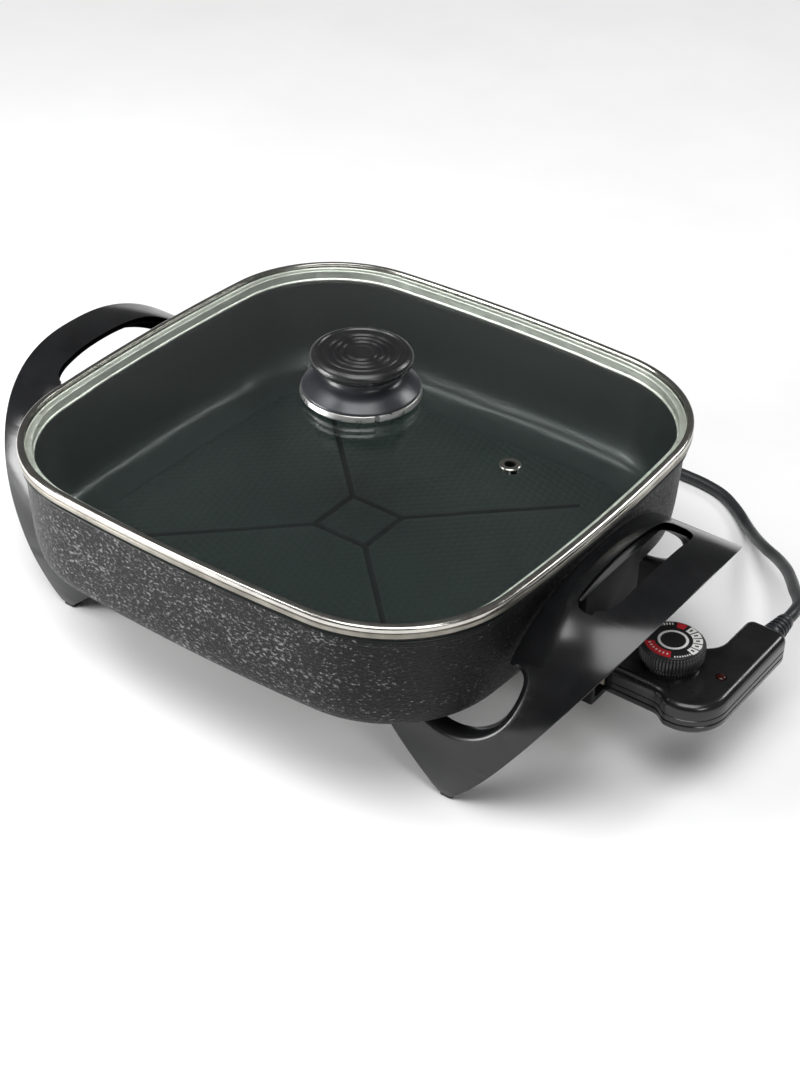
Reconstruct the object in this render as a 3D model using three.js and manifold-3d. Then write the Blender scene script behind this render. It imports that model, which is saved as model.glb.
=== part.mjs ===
// Electric frying pan with a glass lid and a plug-in temperature controller.
// Millimetres, +Z up. Everything is drawn about the middle of the pan at table
// height, then moved so that the origin is under the middle of the whole
// appliance, left grip to controller. The handles stand along X, and the
// controller plugs in under the +X handle.

import * as THREE from 'three';
import { mergeVertices } from 'three/addons/utils/BufferGeometryUtils.js';
import Module from 'manifold-3d';

const wasm = await Module();
wasm.setup();

// ---- driving dimensions ------------------------------------------------

const FIT = 0.3; // clearance between touching pieces

const PAN_HALF = 150.5; // half width of the pan at its rim
const PAN_CORNER = 74; // plan radius of the pan's corners at the rim
const SIDE_RADIUS = 1200; // the four sides bow outwards on this radius
const PAN_BOTTOM = 55; // underside of the pan above the table
const PAN_FLOOR = 59; // cooking surface
const PAN_RIM = 118.7; // top of the rim
const PAN_WALL = 3.5;

const LID_HALF = 153; // half width over the steel band
const LID_Z = PAN_RIM + FIT; // lower edge of the band
const BAND_HEIGHT = 6.5;
const GLASS = 4; // glass thickness
const DOME_RISE = 19; // height of the dome over its edge
const VENT_X = 95; // place of the steam vent

const KNOB_CAP_R = 27.7;
const KNOB_BASE_R = 32.5;
const KNOB_TOP = 169;

const ARCH_HALF = 101; // half width of the handle's arch
const ARCH_TOP = 113; // top of the handle's arch
const ARCH_POWER = 2.4; // the arch is a superellipse of this power
const FOOT_TUCK = 2; // the legs draw in by this much at the feet
const LEG_THICK = 9;
const DECK_THICK = 3.2;
const FOOT_OUT = 134; // outer end of a foot
const FOOT_IN = 126; // inner end of a foot
const HANDLE_OUT = 211; // outer edge of the grip
const PAD = 2; // thickness of a rubber foot pad

const ELEMENT_R = 3.5; // radius of the heating tube
const ELEMENT_Z = 48.5;
const ELEMENT_HALF = 78;
const PIN_Y = 12; // the two terminal pins stand at plus and minus this
const PIN_END = 152;

const CASE_BOTTOM = 41; // controller housing
const CASE_SPLIT = 45.5;
const CASE_TOP = 58;
const CASE_WALL = 2.4;
const NOSE_START = 131;
const NOSE_HALF = 19;
const CASE_START = 172;
const ARM_HALF = 22;
const ELBOW_IN = 211;
const ELBOW_OUT = 235;
const ELBOW_NEAR = -27;
const ELBOW_FAR = 60;
const DIAL_X = 198;
const DIAL_R = 17;
const DIAL_TOP = 73;

const CORD_R = 3.5;
const CORD_SIDES = 8;
const GLAND_X = 224;
const GLAND_Z = 50;
const GLAND_END = 79; // where the cord leaves the strain relief
const COIL = { x: -40, y: 205, inner: 34.5, outer: 48.5, height: 14 };
const PLUG_X = 16; // where the cord enters the plug's sleeve
const PLUG_Y = 160;
const PLUG_Z = 9;

const CENTRE_X = 13.25; // the appliance's middle, measured from the pan's middle

const STEPS = 5; // steps in a quarter circle of the larger curves

// ---- materials ---------------------------------------------------------

function finish(color, roughness, metalness) {
  return new THREE.MeshStandardMaterial({ color, roughness, metalness });
}

const bakelite = finish(0x17181a, 0.28, 0);
const castMetal = finish(0x2b2d2e, 0.5, 0.3);
const steel = finish(0xc9c5bd, 0.25, 1);
const brass = finish(0xb8924a, 0.35, 1);
const glass = finish(0x9fb5ad, 0.05, 0);
const rubber = finish(0x1b1b1c, 0.75, 0);
const plastic = finish(0x141516, 0.35, 0);
const heater = finish(0x5b5a57, 0.55, 0.8);
const lampLens = finish(0xb0301c, 0.2, 0);
const mica = finish(0xa79a7c, 0.7, 0);

const part = new THREE.Group();
part.position.x = -CENTRE_X;

function add(name, geometry, material, group = part) {
  const mesh = new THREE.Mesh(geometry, material);
  mesh.name = name;
  group.add(mesh);
  return mesh;
}

// ---- solids ------------------------------------------------------------

function toSolid(geometry) {
  const bare = geometry.clone();
  bare.deleteAttribute('normal');
  bare.deleteAttribute('uv');
  const merged = mergeVertices(bare, 1e-4);
  return new wasm.Manifold(new wasm.Mesh({
    numProp: 3,
    vertProperties: new Float32Array(merged.attributes.position.array),
    triVerts: new Uint32Array(merged.index.array),
  }));
}

function toGeometry(solid) {
  const mesh = solid.getMesh();
  const geometry = new THREE.BufferGeometry();
  geometry.setAttribute('position', new THREE.BufferAttribute(mesh.vertProperties, 3));
  geometry.setIndex(new THREE.BufferAttribute(mesh.triVerts, 1));
  return geometry;
}

function cut(geometry, ...tools) {
  let solid = toSolid(geometry);
  for (const tool of tools) {
    solid = solid.subtract(toSolid(tool));
  }
  return toGeometry(solid);
}

function join(geometry, ...others) {
  let solid = toSolid(geometry);
  for (const other of others) {
    solid = solid.add(toSolid(other));
  }
  return toGeometry(solid);
}

function common(a, b) {
  return toGeometry(toSolid(a).intersect(toSolid(b)));
}

function box(x0, x1, y0, y1, z0, z1) {
  const geometry = new THREE.BoxGeometry(x1 - x0, y1 - y0, z1 - z0);
  return geometry.translate((x0 + x1) / 2, (y0 + y1) / 2, (z0 + z1) / 2);
}

// A round rod whose axis is upright.
function rodZ(radius, x, y, z0, z1, sides = 14) {
  const geometry = new THREE.CylinderGeometry(radius, radius, z1 - z0, sides);
  return geometry.rotateX(Math.PI / 2).translate(x, y, (z0 + z1) / 2);
}

// A round rod along X.
function rodX(radius, x0, x1, y, z, sides = 16) {
  const geometry = new THREE.CylinderGeometry(radius, radius, x1 - x0, sides);
  return geometry.rotateZ(Math.PI / 2).translate((x0 + x1) / 2, y, z);
}

// A turned piece: profile is a list of [radius, height].
function turned(profile, sides = 24) {
  const points = profile.map(([r, z]) => new THREE.Vector2(r, z));
  return new THREE.LatheGeometry(points, sides).rotateX(Math.PI / 2);
}

// A plan shape raised from z0 to z1.
function slab(shape, z0, z1, curveSegments = 4) {
  const depth = z1 - z0;
  const geometry = new THREE.ExtrudeGeometry(shape, { depth, bevelEnabled: false, curveSegments });
  return geometry.translate(0, 0, z0);
}

// A shape drawn in (y, z) and drawn out along X.
function extrudeX(shape, x0, x1) {
  const geometry = new THREE.ExtrudeGeometry(shape, { depth: x1 - x0, bevelEnabled: false, curveSegments: 5 });
  const turn = new THREE.Matrix4().makeBasis(
    new THREE.Vector3(0, 1, 0), new THREE.Vector3(0, 0, 1), new THREE.Vector3(1, 0, 0));
  return geometry.applyMatrix4(turn).translate(x0, 0, 0);
}

// A shape drawn in (x, z) and drawn out along Y.
function extrudeY(shape, y0, y1) {
  const geometry = new THREE.ExtrudeGeometry(shape, { depth: y1 - y0, bevelEnabled: false, curveSegments: 5 });
  const turn = new THREE.Matrix4().makeBasis(
    new THREE.Vector3(1, 0, 0), new THREE.Vector3(0, 0, 1), new THREE.Vector3(0, -1, 0));
  return geometry.applyMatrix4(turn).translate(0, y1, 0);
}

function roundedRect(x0, x1, y0, y1, r) {
  const shape = new THREE.Shape();
  shape.moveTo(x0 + r, y0);
  shape.lineTo(x1 - r, y0);
  shape.absarc(x1 - r, y0 + r, r, -Math.PI / 2, 0);
  shape.lineTo(x1, y1 - r);
  shape.absarc(x1 - r, y1 - r, r, 0, Math.PI / 2);
  shape.lineTo(x0 + r, y1);
  shape.absarc(x0 + r, y1 - r, r, Math.PI / 2, Math.PI);
  shape.lineTo(x0, y0 + r);
  shape.absarc(x0 + r, y0 + r, r, Math.PI, Math.PI * 1.5);
  return shape;
}

// ---- the rounded square that pan and lid share -------------------------

// One ring of points: bowed sides of SIDE_RADIUS joined by corner arcs.
function squareRing(half, corner, z) {
  const big = SIDE_RADIUS;
  const reach = big - corner;
  const a = half - big;
  const middle = (a + Math.sqrt(2 * reach * reach - a * a)) / 2;
  const slant = Math.atan2(middle, middle - a);
  const ring = [];
  for (let quarter = 0; quarter < 4; quarter += 1) {
    const local = [];
    for (let i = 0; i < 3; i += 1) {
      const t = slant * (i / 3);
      local.push([a + big * Math.cos(t), big * Math.sin(t)]);
    }
    for (let i = 0; i < STEPS; i += 1) {
      const t = slant + (Math.PI / 2 - 2 * slant) * (i / STEPS);
      local.push([middle + corner * Math.cos(t), middle + corner * Math.sin(t)]);
    }
    for (let i = 0; i < 3; i += 1) {
      const t = slant * (1 - i / 3);
      local.push([big * Math.sin(t), a + big * Math.cos(t)]);
    }
    const c = Math.round(Math.cos(quarter * Math.PI / 2));
    const s = Math.round(Math.sin(quarter * Math.PI / 2));
    for (const [x, y] of local) {
      ring.push([c * x - s * y, s * x + c * y, z]);
    }
  }
  return ring;
}

// A ring of the pan's outline moved in or out, so that walls stay parallel.
function panRing(half, z) {
  return squareRing(half, Math.max(PAN_CORNER - (PAN_HALF - half), 12), z);
}

function circleRing(radius, z, like) {
  return like.map(([x, y]) => {
    const t = Math.atan2(y, x);
    return [radius * Math.cos(t), radius * Math.sin(t), z];
  });
}

// Skin over a list of rings. A loop closes on its first ring; otherwise
// the first and last rings are closed with a fan about their middle.
function skin(rings, loop) {
  const count = rings[0].length;
  const positions = rings.flat(2);
  const index = [];
  const last = loop ? rings.length : rings.length - 1;
  for (let k = 0; k < last; k += 1) {
    const a = k * count;
    const b = ((k + 1) % rings.length) * count;
    for (let i = 0; i < count; i += 1) {
      const j = (i + 1) % count;
      index.push(a + i, a + j, b + j, a + i, b + j, b + i);
    }
  }
  if (!loop) {
    const end = (rings.length - 1) * count;
    const first = positions.length / 3;
    positions.push(0, 0, rings[0][0][2], 0, 0, rings[rings.length - 1][0][2]);
    for (let i = 0; i < count; i += 1) {
      const j = (i + 1) % count;
      index.push(first, j, i, first + 1, end + i, end + j);
    }
  }
  const geometry = new THREE.BufferGeometry();
  geometry.setAttribute('position', new THREE.Float32BufferAttribute(positions, 3));
  geometry.setIndex(index);
  return geometry;
}

// ---- pan ---------------------------------------------------------------

const SCREW_X = 84;
const SCREW_Y = 89;
const WELL_END = 124; // open end of the thermostat's well
const FOOT_SIGNS = [[1, -1], [1, 1], [-1, 1], [-1, -1]];

function panBody() {
  const outer = [
    [128, PAN_BOTTOM], [137, PAN_BOTTOM + 1.5], [144.5, PAN_BOTTOM + 7], [147.5, PAN_BOTTOM + 15],
    [149.6, 108], [149.8, 113], [PAN_HALF + 1, 114], [PAN_HALF + 1, 116],
    [PAN_HALF, 117], [PAN_HALF - 0.6, PAN_RIM],
  ];
  const inner = [
    [PAN_HALF - PAN_WALL, PAN_RIM], [146, 108], [143.6, PAN_FLOOR + 14],
    [139, PAN_FLOOR + 5], [127, PAN_FLOOR],
  ];
  const rings = [...outer, ...inner].map(([half, z]) => panRing(half, z));
  const ridgeTop = PAN_BOTTOM + 0.5;
  const ridgeLow = ELEMENT_Z + ELEMENT_R + FIT;
  const ridge = skin([
    squareRing(ELEMENT_HALF + 3, 17, ridgeLow), squareRing(ELEMENT_HALF + 3, 17, ridgeTop),
    squareRing(ELEMENT_HALF - 3, 11, ridgeTop), squareRing(ELEMENT_HALF - 3, 11, ridgeLow),
  ], true);
  const well = box(60, WELL_END, -6.2, 6.2, ELEMENT_Z - 6, PAN_BOTTOM + 1);
  const bosses = FOOT_SIGNS.map(([sx, sy]) => (
    rodZ(7, sx * SCREW_X, sy * SCREW_Y, PAN_BOTTOM - 3, PAN_BOTTOM + 1)));
  const holes = FOOT_SIGNS.map(([sx, sy]) => (
    rodZ(2.4, sx * SCREW_X, sy * SCREW_Y, PAN_BOTTOM - 4, PAN_BOTTOM + 2.4, 12)));
  const bore = rodX(3.6, 62, WELL_END + 1, 0, ELEMENT_Z);
  return cut(join(skin(rings, false), ridge, well, ...bosses), bore, ...holes);
}

add('pan_body', panBody(), castMetal);

// ---- heating element under the pan -------------------------------------

// A straight-and-corner path, with each corner rounded by its own radius.
function roundedPath(points, radius) {
  const path = new THREE.CurvePath();
  let from = points[0];
  for (let i = 1; i < points.length - 1; i += 1) {
    const corner = points[i];
    const back = points[i - 1].clone().sub(corner).normalize().multiplyScalar(radius).add(corner);
    const on = points[i + 1].clone().sub(corner).normalize().multiplyScalar(radius).add(corner);
    path.add(new THREE.LineCurve3(from, back));
    path.add(new THREE.QuadraticBezierCurve3(back, corner, on));
    from = on;
  }
  path.add(new THREE.LineCurve3(from, points[points.length - 1]));
  return path;
}

function tube(path, radius, steps, sides) {
  const shape = new THREE.Shape();
  for (let i = 0; i < sides; i += 1) {
    const t = 2 * Math.PI * (i / sides);
    if (i === 0) {
      shape.moveTo(radius, 0);
    } else {
      shape.lineTo(radius * Math.cos(t), radius * Math.sin(t));
    }
  }
  return new THREE.ExtrudeGeometry(shape, { steps, extrudePath: path, bevelEnabled: false });
}

function heatingElement() {
  const h = ELEMENT_HALF;
  const at = (x, y) => new THREE.Vector3(x, y, ELEMENT_Z);
  const points = [
    at(PIN_END - 30, -PIN_Y), at(h, -PIN_Y), at(h, -h), at(-h, -h),
    at(-h, h), at(h, h), at(h, PIN_Y), at(PIN_END - 30, PIN_Y),
  ];
  const radii = 14;
  return tube(roundedPath(points, radii), ELEMENT_R, 44, 8);
}

add('heating_element', heatingElement(), heater);

for (const [side, sign] of [['near', -1], ['far', 1]]) {
  const sleeve = rodX(ELEMENT_R - 0.1, PIN_END - 29.6, PIN_END - 22, sign * PIN_Y, ELEMENT_Z);
  add(`ceramic_sleeve_${side}`, sleeve, mica);
  const pin = join(
    rodX(2.4, PIN_END - 21.6, PIN_END - 2, sign * PIN_Y, ELEMENT_Z, 10),
    new THREE.SphereGeometry(2.4, 10, 6).translate(PIN_END - 2, sign * PIN_Y, ELEMENT_Z));
  add(`terminal_pin_${side}`, pin, steel);
}

// Straps that hold the heating tube up against the pan.
function elementClip() {
  const r = ELEMENT_R + FIT;
  const shape = new THREE.Shape();
  shape.moveTo(-11, PAN_BOTTOM - FIT);
  shape.lineTo(-11, PAN_BOTTOM - 1.8);
  shape.lineTo(-r - 1.5, PAN_BOTTOM - 1.8);
  shape.lineTo(-r - 1.5, ELEMENT_Z);
  shape.absarc(0, ELEMENT_Z, r + 1.5, Math.PI, 2 * Math.PI);
  shape.lineTo(r + 1.5, PAN_BOTTOM - 1.8);
  shape.lineTo(11, PAN_BOTTOM - 1.8);
  shape.lineTo(11, PAN_BOTTOM - FIT);
  shape.lineTo(r, PAN_BOTTOM - FIT);
  shape.lineTo(r, ELEMENT_Z);
  shape.absarc(0, ELEMENT_Z, r, 0, Math.PI, true);
  shape.lineTo(-r, PAN_BOTTOM - FIT);
  return extrudeY(shape, -6, 6);
}

const CLIP_TURNS = [['near', 0], ['far', Math.PI], ['left', -Math.PI / 2]];
for (const [side, turn] of CLIP_TURNS) {
  const clip = elementClip().rotateZ(Math.PI / 2).translate(0, -ELEMENT_HALF, 0).rotateZ(turn);
  add(`element_clip_${side}`, clip, steel);
}

// ---- lid ---------------------------------------------------------------

const GLASS_HALF = LID_HALF - 2.2;
const GLASS_EDGE_Z = LID_Z + 1.6;

function domeZ(scale) {
  return GLASS_EDGE_Z + DOME_RISE * (1 - scale * scale);
}

function lidGlass() {
  const scales = [1, 0.9, 0.74, 0.52, 0.28];
  const corner = PAN_CORNER;
  const ringAt = (scale, lift) => squareRing(GLASS_HALF * scale, corner * scale, domeZ(scale) + lift);
  const upper = scales.map((scale) => ringAt(scale, GLASS));
  const hole = circleRing(4.2, domeZ(0.03) + GLASS, upper[0]);
  const holeLow = circleRing(4.2, domeZ(0.03), upper[0]);
  const lower = scales.map((scale) => ringAt(scale, 0)).reverse();
  const rings = [...upper, hole, holeLow, ...lower];
  return cut(skin(rings, true), rodZ(4.6, VENT_X, 0, 110, 170, 14));
}

add('lid_glass', lidGlass(), glass);

// Rolled steel band round the glass, with a skirt that drops into the pan.
function lidBand() {
  const profile = [
    [LID_HALF, LID_Z + 1], [LID_HALF, LID_Z + BAND_HEIGHT - 1],
    [LID_HALF - 1.2, LID_Z + BAND_HEIGHT], [LID_HALF - 5, LID_Z + BAND_HEIGHT + 0.6],
    [LID_HALF - 5, LID_Z + BAND_HEIGHT], [GLASS_HALF + FIT, LID_Z + BAND_HEIGHT - 0.6],
    [GLASS_HALF + FIT, LID_Z + 1.2], [LID_HALF - 8.4, LID_Z + 1.2], [LID_HALF - 8.4, LID_Z - 5],
    [LID_HALF - 7.2, LID_Z - 5], [LID_HALF - 7.2, LID_Z], [LID_HALF - 1, LID_Z],
  ];
  return skin(profile.map(([half, z]) => panRing(half, z)), true);
}

add('lid_rim_band', lidBand(), steel);

const ventZ = domeZ(VENT_X / GLASS_HALF);

// A rolled eyelet: lip above the glass, neck through it and lip below it.
function ventGrommet() {
  const top = ventZ + GLASS;
  return turned([
    [2.4, ventZ - 2.4], [7, ventZ - 2.4], [7, ventZ - 1.6], [4.2, ventZ - 1.4], [4.2, top + 1.4],
    [6.8, top + 1.5], [5.6, top + 2.8], [2.4, top + 2.8], [2.4, ventZ - 2.4],
  ], 14).translate(VENT_X, 0, 0);
}

add('vent_grommet', ventGrommet(), steel);

// ---- lid knob ----------------------------------------------------------

const APEX = domeZ(0) + GLASS;

add('knob_seal', turned([
  [4.4, APEX + 0.2], [20, APEX - 0.1], [20, APEX + 1.4], [4.4, APEX + 1.4], [4.4, APEX + 0.2],
]), rubber);

add('knob_base_ring', turned([
  [KNOB_BASE_R - 5, APEX + 0.6], [KNOB_BASE_R - 0.6, APEX + 0.6], [KNOB_BASE_R, APEX + 1.4],
  [KNOB_BASE_R - 0.8, APEX + 4], [KNOB_BASE_R - 5, APEX + 4], [KNOB_BASE_R - 5, APEX + 0.6],
], 24), steel);

add('knob_base', turned([
  [4.4, APEX + 1.7], [KNOB_BASE_R - 5.3, APEX + 1.7], [KNOB_BASE_R - 5.3, APEX + 4.3],
  [KNOB_BASE_R - 1, APEX + 4.3], [25, APEX + 9.5], [20.5, APEX + 12], [19.5, APEX + 16],
  [4.4, APEX + 16], [4.4, APEX + 1.7],
]), bakelite);

const CAP_Z = APEX + 16.3;

add('knob_cap', turned([
  [3.4, CAP_Z], [22, CAP_Z], [KNOB_CAP_R - 2, CAP_Z + 2], [KNOB_CAP_R - 0.3, CAP_Z + 4],
  [KNOB_CAP_R - 1.6, KNOB_TOP - 1], [24, KNOB_TOP], [17, KNOB_TOP - 0.5],
  [15, KNOB_TOP - 1.2], [13, KNOB_TOP - 0.6], [0, KNOB_TOP],
  [0, KNOB_TOP - 2.6], [3.4, KNOB_TOP - 2.6], [3.4, CAP_Z],
], 24), bakelite);

add('knob_screw', turned([
  [0, APEX - 8.4], [5.4, APEX - 8.4], [6.4, APEX - 6.8], [6.4, APEX - 6], [3, APEX - 6],
  [3, KNOB_TOP - 3], [0, KNOB_TOP - 3],
], 16), steel);

add('knob_washer', turned([
  [3.4, APEX - 5.7], [11, APEX - 5.7], [11, APEX - 4.4], [3.4, APEX - 4.4], [3.4, APEX - 5.7],
], 24), steel);

// ---- handles with their feet -------------------------------------------

const SHELF_IN = 70; // the handle's inner end under the pan
const SHELF_NEAR = 83.5;
const SHELF_FAR = 94;
const SLOT = { x0: 166.5, x1: 185, y: 1.5, half: 45 }; // the grip's finger slot
const SLOT_WALL = { half: 42, low: 104 }; // wall under the slot's edge nearest the pan
const NOTCH = { x: 127.5, z: 74.3, r: 32, top: 81 }; // round gap between leg and pan

// The arch that the handle follows, seen along X: deck above, legs beside.
function archShape(legs, deck, base) {
  const shape = new THREE.Shape();
  const count = 30;
  const point = (t, inLegs, inDeck) => {
    const c = Math.cos(t);
    const s = Math.sin(t);
    const y = (ARCH_HALF - inLegs) * Math.sign(c) * Math.abs(c) ** (2 / ARCH_POWER);
    const z = (ARCH_TOP - inDeck) * s ** (2 / ARCH_POWER);
    return [y, Math.max(z, base)];
  };
  const foot = ARCH_HALF - FOOT_TUCK;
  shape.moveTo(foot, base);
  for (let i = 2; i < count - 1; i += 1) {
    shape.lineTo(...point(Math.PI * (i / count), 0, 0));
  }
  shape.lineTo(-foot, base);
  shape.lineTo(legs - foot, base);
  for (let i = count - 2; i > 1; i -= 1) {
    shape.lineTo(...point(Math.PI * (i / count), legs, deck));
  }
  shape.lineTo(foot - legs, base);
  return shape;
}

// The handle's outline seen along Y: it leans out from its foot to the grip.
function sideShape(moved) {
  const shape = new THREE.Shape();
  shape.moveTo(FOOT_IN, PAD);
  shape.lineTo(FOOT_OUT - moved, PAD);
  shape.quadraticCurveTo(156.6 - moved, 21.7, HANDLE_OUT - moved, ARCH_TOP + 1);
  shape.lineTo(SHELF_IN, ARCH_TOP + 1);
  shape.lineTo(SHELF_IN, PAN_BOTTOM - 1);
  return shape;
}

// Room for the pan: its outline with the given clearance.
function panRoom(clear) {
  const rings = [PAN_BOTTOM - FIT, 130].map((z) => panRing(PAN_HALF + clear, z));
  return skin(rings, false);
}

// The slot in plan: straight towards the pan, bowed towards the outside.
function slotPlan() {
  const { x0, x1, y, half } = SLOT;
  const low = y - half;
  const high = y + half;
  const small = 6; // reach of the two corners towards the pan
  const big = 14; // reach of the two outer corners
  const shape = new THREE.Shape();
  shape.moveTo(x0, low + small);
  shape.quadraticCurveTo(x0, low, x0 + small, low);
  shape.quadraticCurveTo(x1 - 2, low, x1 - 1, low + big);
  shape.quadraticCurveTo(x1 + 1, y, x1 - 1, high - big);
  shape.quadraticCurveTo(x1 - 2, high, x0 + small, high);
  shape.quadraticCurveTo(x0, high, x0, high - small);
  return shape;
}

// The notch in a leg seen along Y: a round bottom and a flatter top.
function notchShape() {
  const { x, z, r, top } = NOTCH;
  const shape = new THREE.Shape();
  shape.absarc(x, z, r, Math.PI, 2 * Math.PI);
  shape.quadraticCurveTo(x + r, top, x + r - 7, top);
  shape.lineTo(x - r, top);
  return shape;
}

function handle() {
  const thick = extrudeX(archShape(LEG_THICK, DECK_THICK, PAD), SHELF_IN, HANDLE_OUT);
  const deep = extrudeX(archShape(LEG_THICK + 3, 12, PAD), SHELF_IN, HANDLE_OUT);
  const outline = extrudeY(sideShape(0), -110, 110);
  const inside = extrudeY(sideShape(3.2), -120, 120);
  const upper = box(0, 300, -120, 120, 30, 130);
  const lip = common(common(deep, upper), cut(outline, inside));
  const body = join(common(thick, outline), lip);
  const wall = box(
    SLOT.x0 - 3, SLOT.x0 + 1, -SLOT_WALL.half, SLOT_WALL.half, SLOT_WALL.low, ARCH_TOP - 5);
  const arched = cut(
    extrudeX(archShape(60, 60, PAD), SHELF_IN, HANDLE_OUT), box(0, 300, -200, 200, -10, 60));
  const flange = common(wall, arched);
  const slot = slab(slotPlan(), 80, 130, 6);
  const shelves = [];
  const cuts = [slot, panRoom(1.2)];
  for (const sign of [-1, 1]) {
    const y0 = Math.min(sign * SHELF_NEAR, sign * SHELF_FAR);
    const depth = SHELF_FAR - SHELF_NEAR;
    shelves.push(box(SHELF_IN, 98, y0, y0 + depth, PAN_BOTTOM - 9, PAN_BOTTOM - 3.3));
    cuts.push(rodZ(2.5, SCREW_X, sign * SCREW_Y, 40, 56, 12));
    cuts.push(rodZ(4.8, SCREW_X, sign * SCREW_Y, 30, PAN_BOTTOM - 9, 16));
    cuts.push(rodZ(7.4, SCREW_X, sign * SCREW_Y, PAN_BOTTOM - 3.3, 60));
    const [low, high] = sign > 0 ? [60, 122] : [-122, -60];
    cuts.push(extrudeY(notchShape(), low, high));
  }
  return cut(join(body, flange, ...shelves), ...cuts);
}

const HANDLES = [['right', 0], ['left', Math.PI]];
for (const [side, turn] of HANDLES) {
  add(`handle_${side}`, handle(), bakelite).rotation.z = turn;
}

function handleScrew() {
  return turned([
    [0, PAN_BOTTOM - 12], [3.4, PAN_BOTTOM - 12], [4.4, PAN_BOTTOM - 10.6],
    [4.4, PAN_BOTTOM - 9.3], [2, PAN_BOTTOM - 9.3], [2, PAN_BOTTOM + 2], [0, PAN_BOTTOM + 2],
  ], 12);
}

for (const [sx, sy] of FOOT_SIGNS) {
  const place = `${sx > 0 ? 'right' : 'left'}_${sy > 0 ? 'far' : 'near'}`;
  add(`handle_screw_${place}`, handleScrew(), steel).position.set(sx * SCREW_X, sy * SCREW_Y, 0);
  const y = sy * (ARCH_HALF - FOOT_TUCK - LEG_THICK / 2);
  const pad = box(-3.8, 3.8, -4, 4, 0, PAD - FIT);
  add(`foot_pad_${place}`, pad, rubber).position.set(sx * (FOOT_IN + FOOT_OUT) / 2, y, 0);
}

// ---- terminal guard under the right handle -----------------------------

const GUARD = { x0: 154, x1: 171.4, half: 31, low: 36, high: 64 };

function terminalGuard() {
  const g = GUARD;
  const frame = box(g.x0, g.x1, -g.half, g.half, g.low, g.high);
  const mouth = box(g.x0 - 1, g.x1 + 1, -g.half + 4, g.half - 4, g.low + 3.4, g.high - 3.4);
  const web = box(
    SLOT.x0 - 7, SLOT.x0 - 3 - FIT, 1 - g.half, 22, g.high - 2, ARCH_TOP - DECK_THICK - 4.3);
  return cut(join(frame, web), mouth);
}

add('terminal_guard', terminalGuard(), bakelite);

// ---- plug-in controller -------------------------------------------------

const LAMP = { x: 224, y: 6, r: 2.6 };
const CASE_SCREWS = [[190, -16], [227, -17], [219, 50]];

// Plan of the housing: a straight arm with an elbow turned along +Y.
function casePlan(inset) {
  const shape = new THREE.Shape();
  const near = ELBOW_NEAR + inset;
  const out = ELBOW_OUT - inset;
  const far = ELBOW_FAR - inset;
  const arm = ARM_HALF - inset;
  const big = 19 - inset;
  const small = 6;
  shape.moveTo(CASE_START + inset, -arm);
  shape.lineTo(204, -arm);
  shape.lineTo(210 + inset * 0.4, near);
  shape.lineTo(out - big, near);
  shape.absarc(out - big, near + big, big, -Math.PI / 2, 0);
  shape.lineTo(out, far - small);
  shape.lineTo(out - small, far);
  shape.lineTo(ELBOW_IN + inset + small, far);
  shape.lineTo(ELBOW_IN + inset, far - small);
  shape.lineTo(ELBOW_IN + inset, arm + 9);
  shape.lineTo(ELBOW_IN + inset - 7, arm);
  shape.lineTo(CASE_START + inset, arm);
  return shape;
}

function caseTop() {
  const shell = slab(casePlan(0), CASE_SPLIT + FIT, CASE_TOP);
  const room = slab(casePlan(CASE_WALL), CASE_SPLIT - 1, CASE_TOP - CASE_WALL);
  const seat = rodZ(15.2, DIAL_X, 0, CASE_TOP - 1.2, CASE_TOP + 1, 24);
  const spindle = rodZ(3.6, DIAL_X, 0, 40, 70, 12);
  const lens = rodZ(LAMP.r + FIT, LAMP.x, LAMP.y, 50, 70, 12);
  const mouth = box(CASE_START - 1, CASE_START + 4, -17, 17, CASE_SPLIT - 1, CASE_TOP - 3);
  const posts = CASE_SCREWS.map(([x, y]) => rodZ(3.4, x, y, CASE_SPLIT + FIT, CASE_TOP - 1, 12));
  const holes = CASE_SCREWS.map(([x, y]) => rodZ(1.5, x, y, CASE_SPLIT - 1, CASE_TOP - 4, 10));
  const hollow = toSolid(cut(shell, room, seat, spindle, lens, mouth));
  return cut(join(toGeometry(hollow), ...posts), ...holes);
}

function caseBottom() {
  const shell = slab(casePlan(0), CASE_BOTTOM, CASE_SPLIT);
  const room = slab(casePlan(CASE_WALL), CASE_BOTTOM + CASE_WALL, CASE_SPLIT + 1);
  const mouth = box(CASE_START - 1, CASE_START + 4, -17, 17, CASE_BOTTOM + 3, CASE_SPLIT + 1);
  const posts = CASE_SCREWS.map(([x, y]) => rodZ(3.4, x, y, CASE_BOTTOM + 1, CASE_SPLIT, 12));
  const holes = CASE_SCREWS.map(([x, y]) => rodZ(1.6, x, y, CASE_BOTTOM - 1, CASE_SPLIT + 1, 10));
  const heads = CASE_SCREWS.map(([x, y]) => rodZ(2.6, x, y, CASE_BOTTOM - 1, CASE_BOTTOM + 2, 10));
  return cut(join(cut(shell, room, mouth), ...posts), ...holes, ...heads);
}

add('controller_case_top', caseTop(), plastic);
add('controller_case_bottom', caseBottom(), plastic);

CASE_SCREWS.forEach(([x, y], i) => {
  const screw = turned([
    [0, CASE_BOTTOM + 0.2], [2.3, CASE_BOTTOM + 0.2], [2.3, CASE_BOTTOM + 1.7],
    [1.2, CASE_BOTTOM + 1.7], [1.2, CASE_TOP - 5], [0, CASE_TOP - 5],
  ], 10).translate(x, y, 0);
  add(`controller_screw_${i + 1}`, screw, steel);
});

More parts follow.
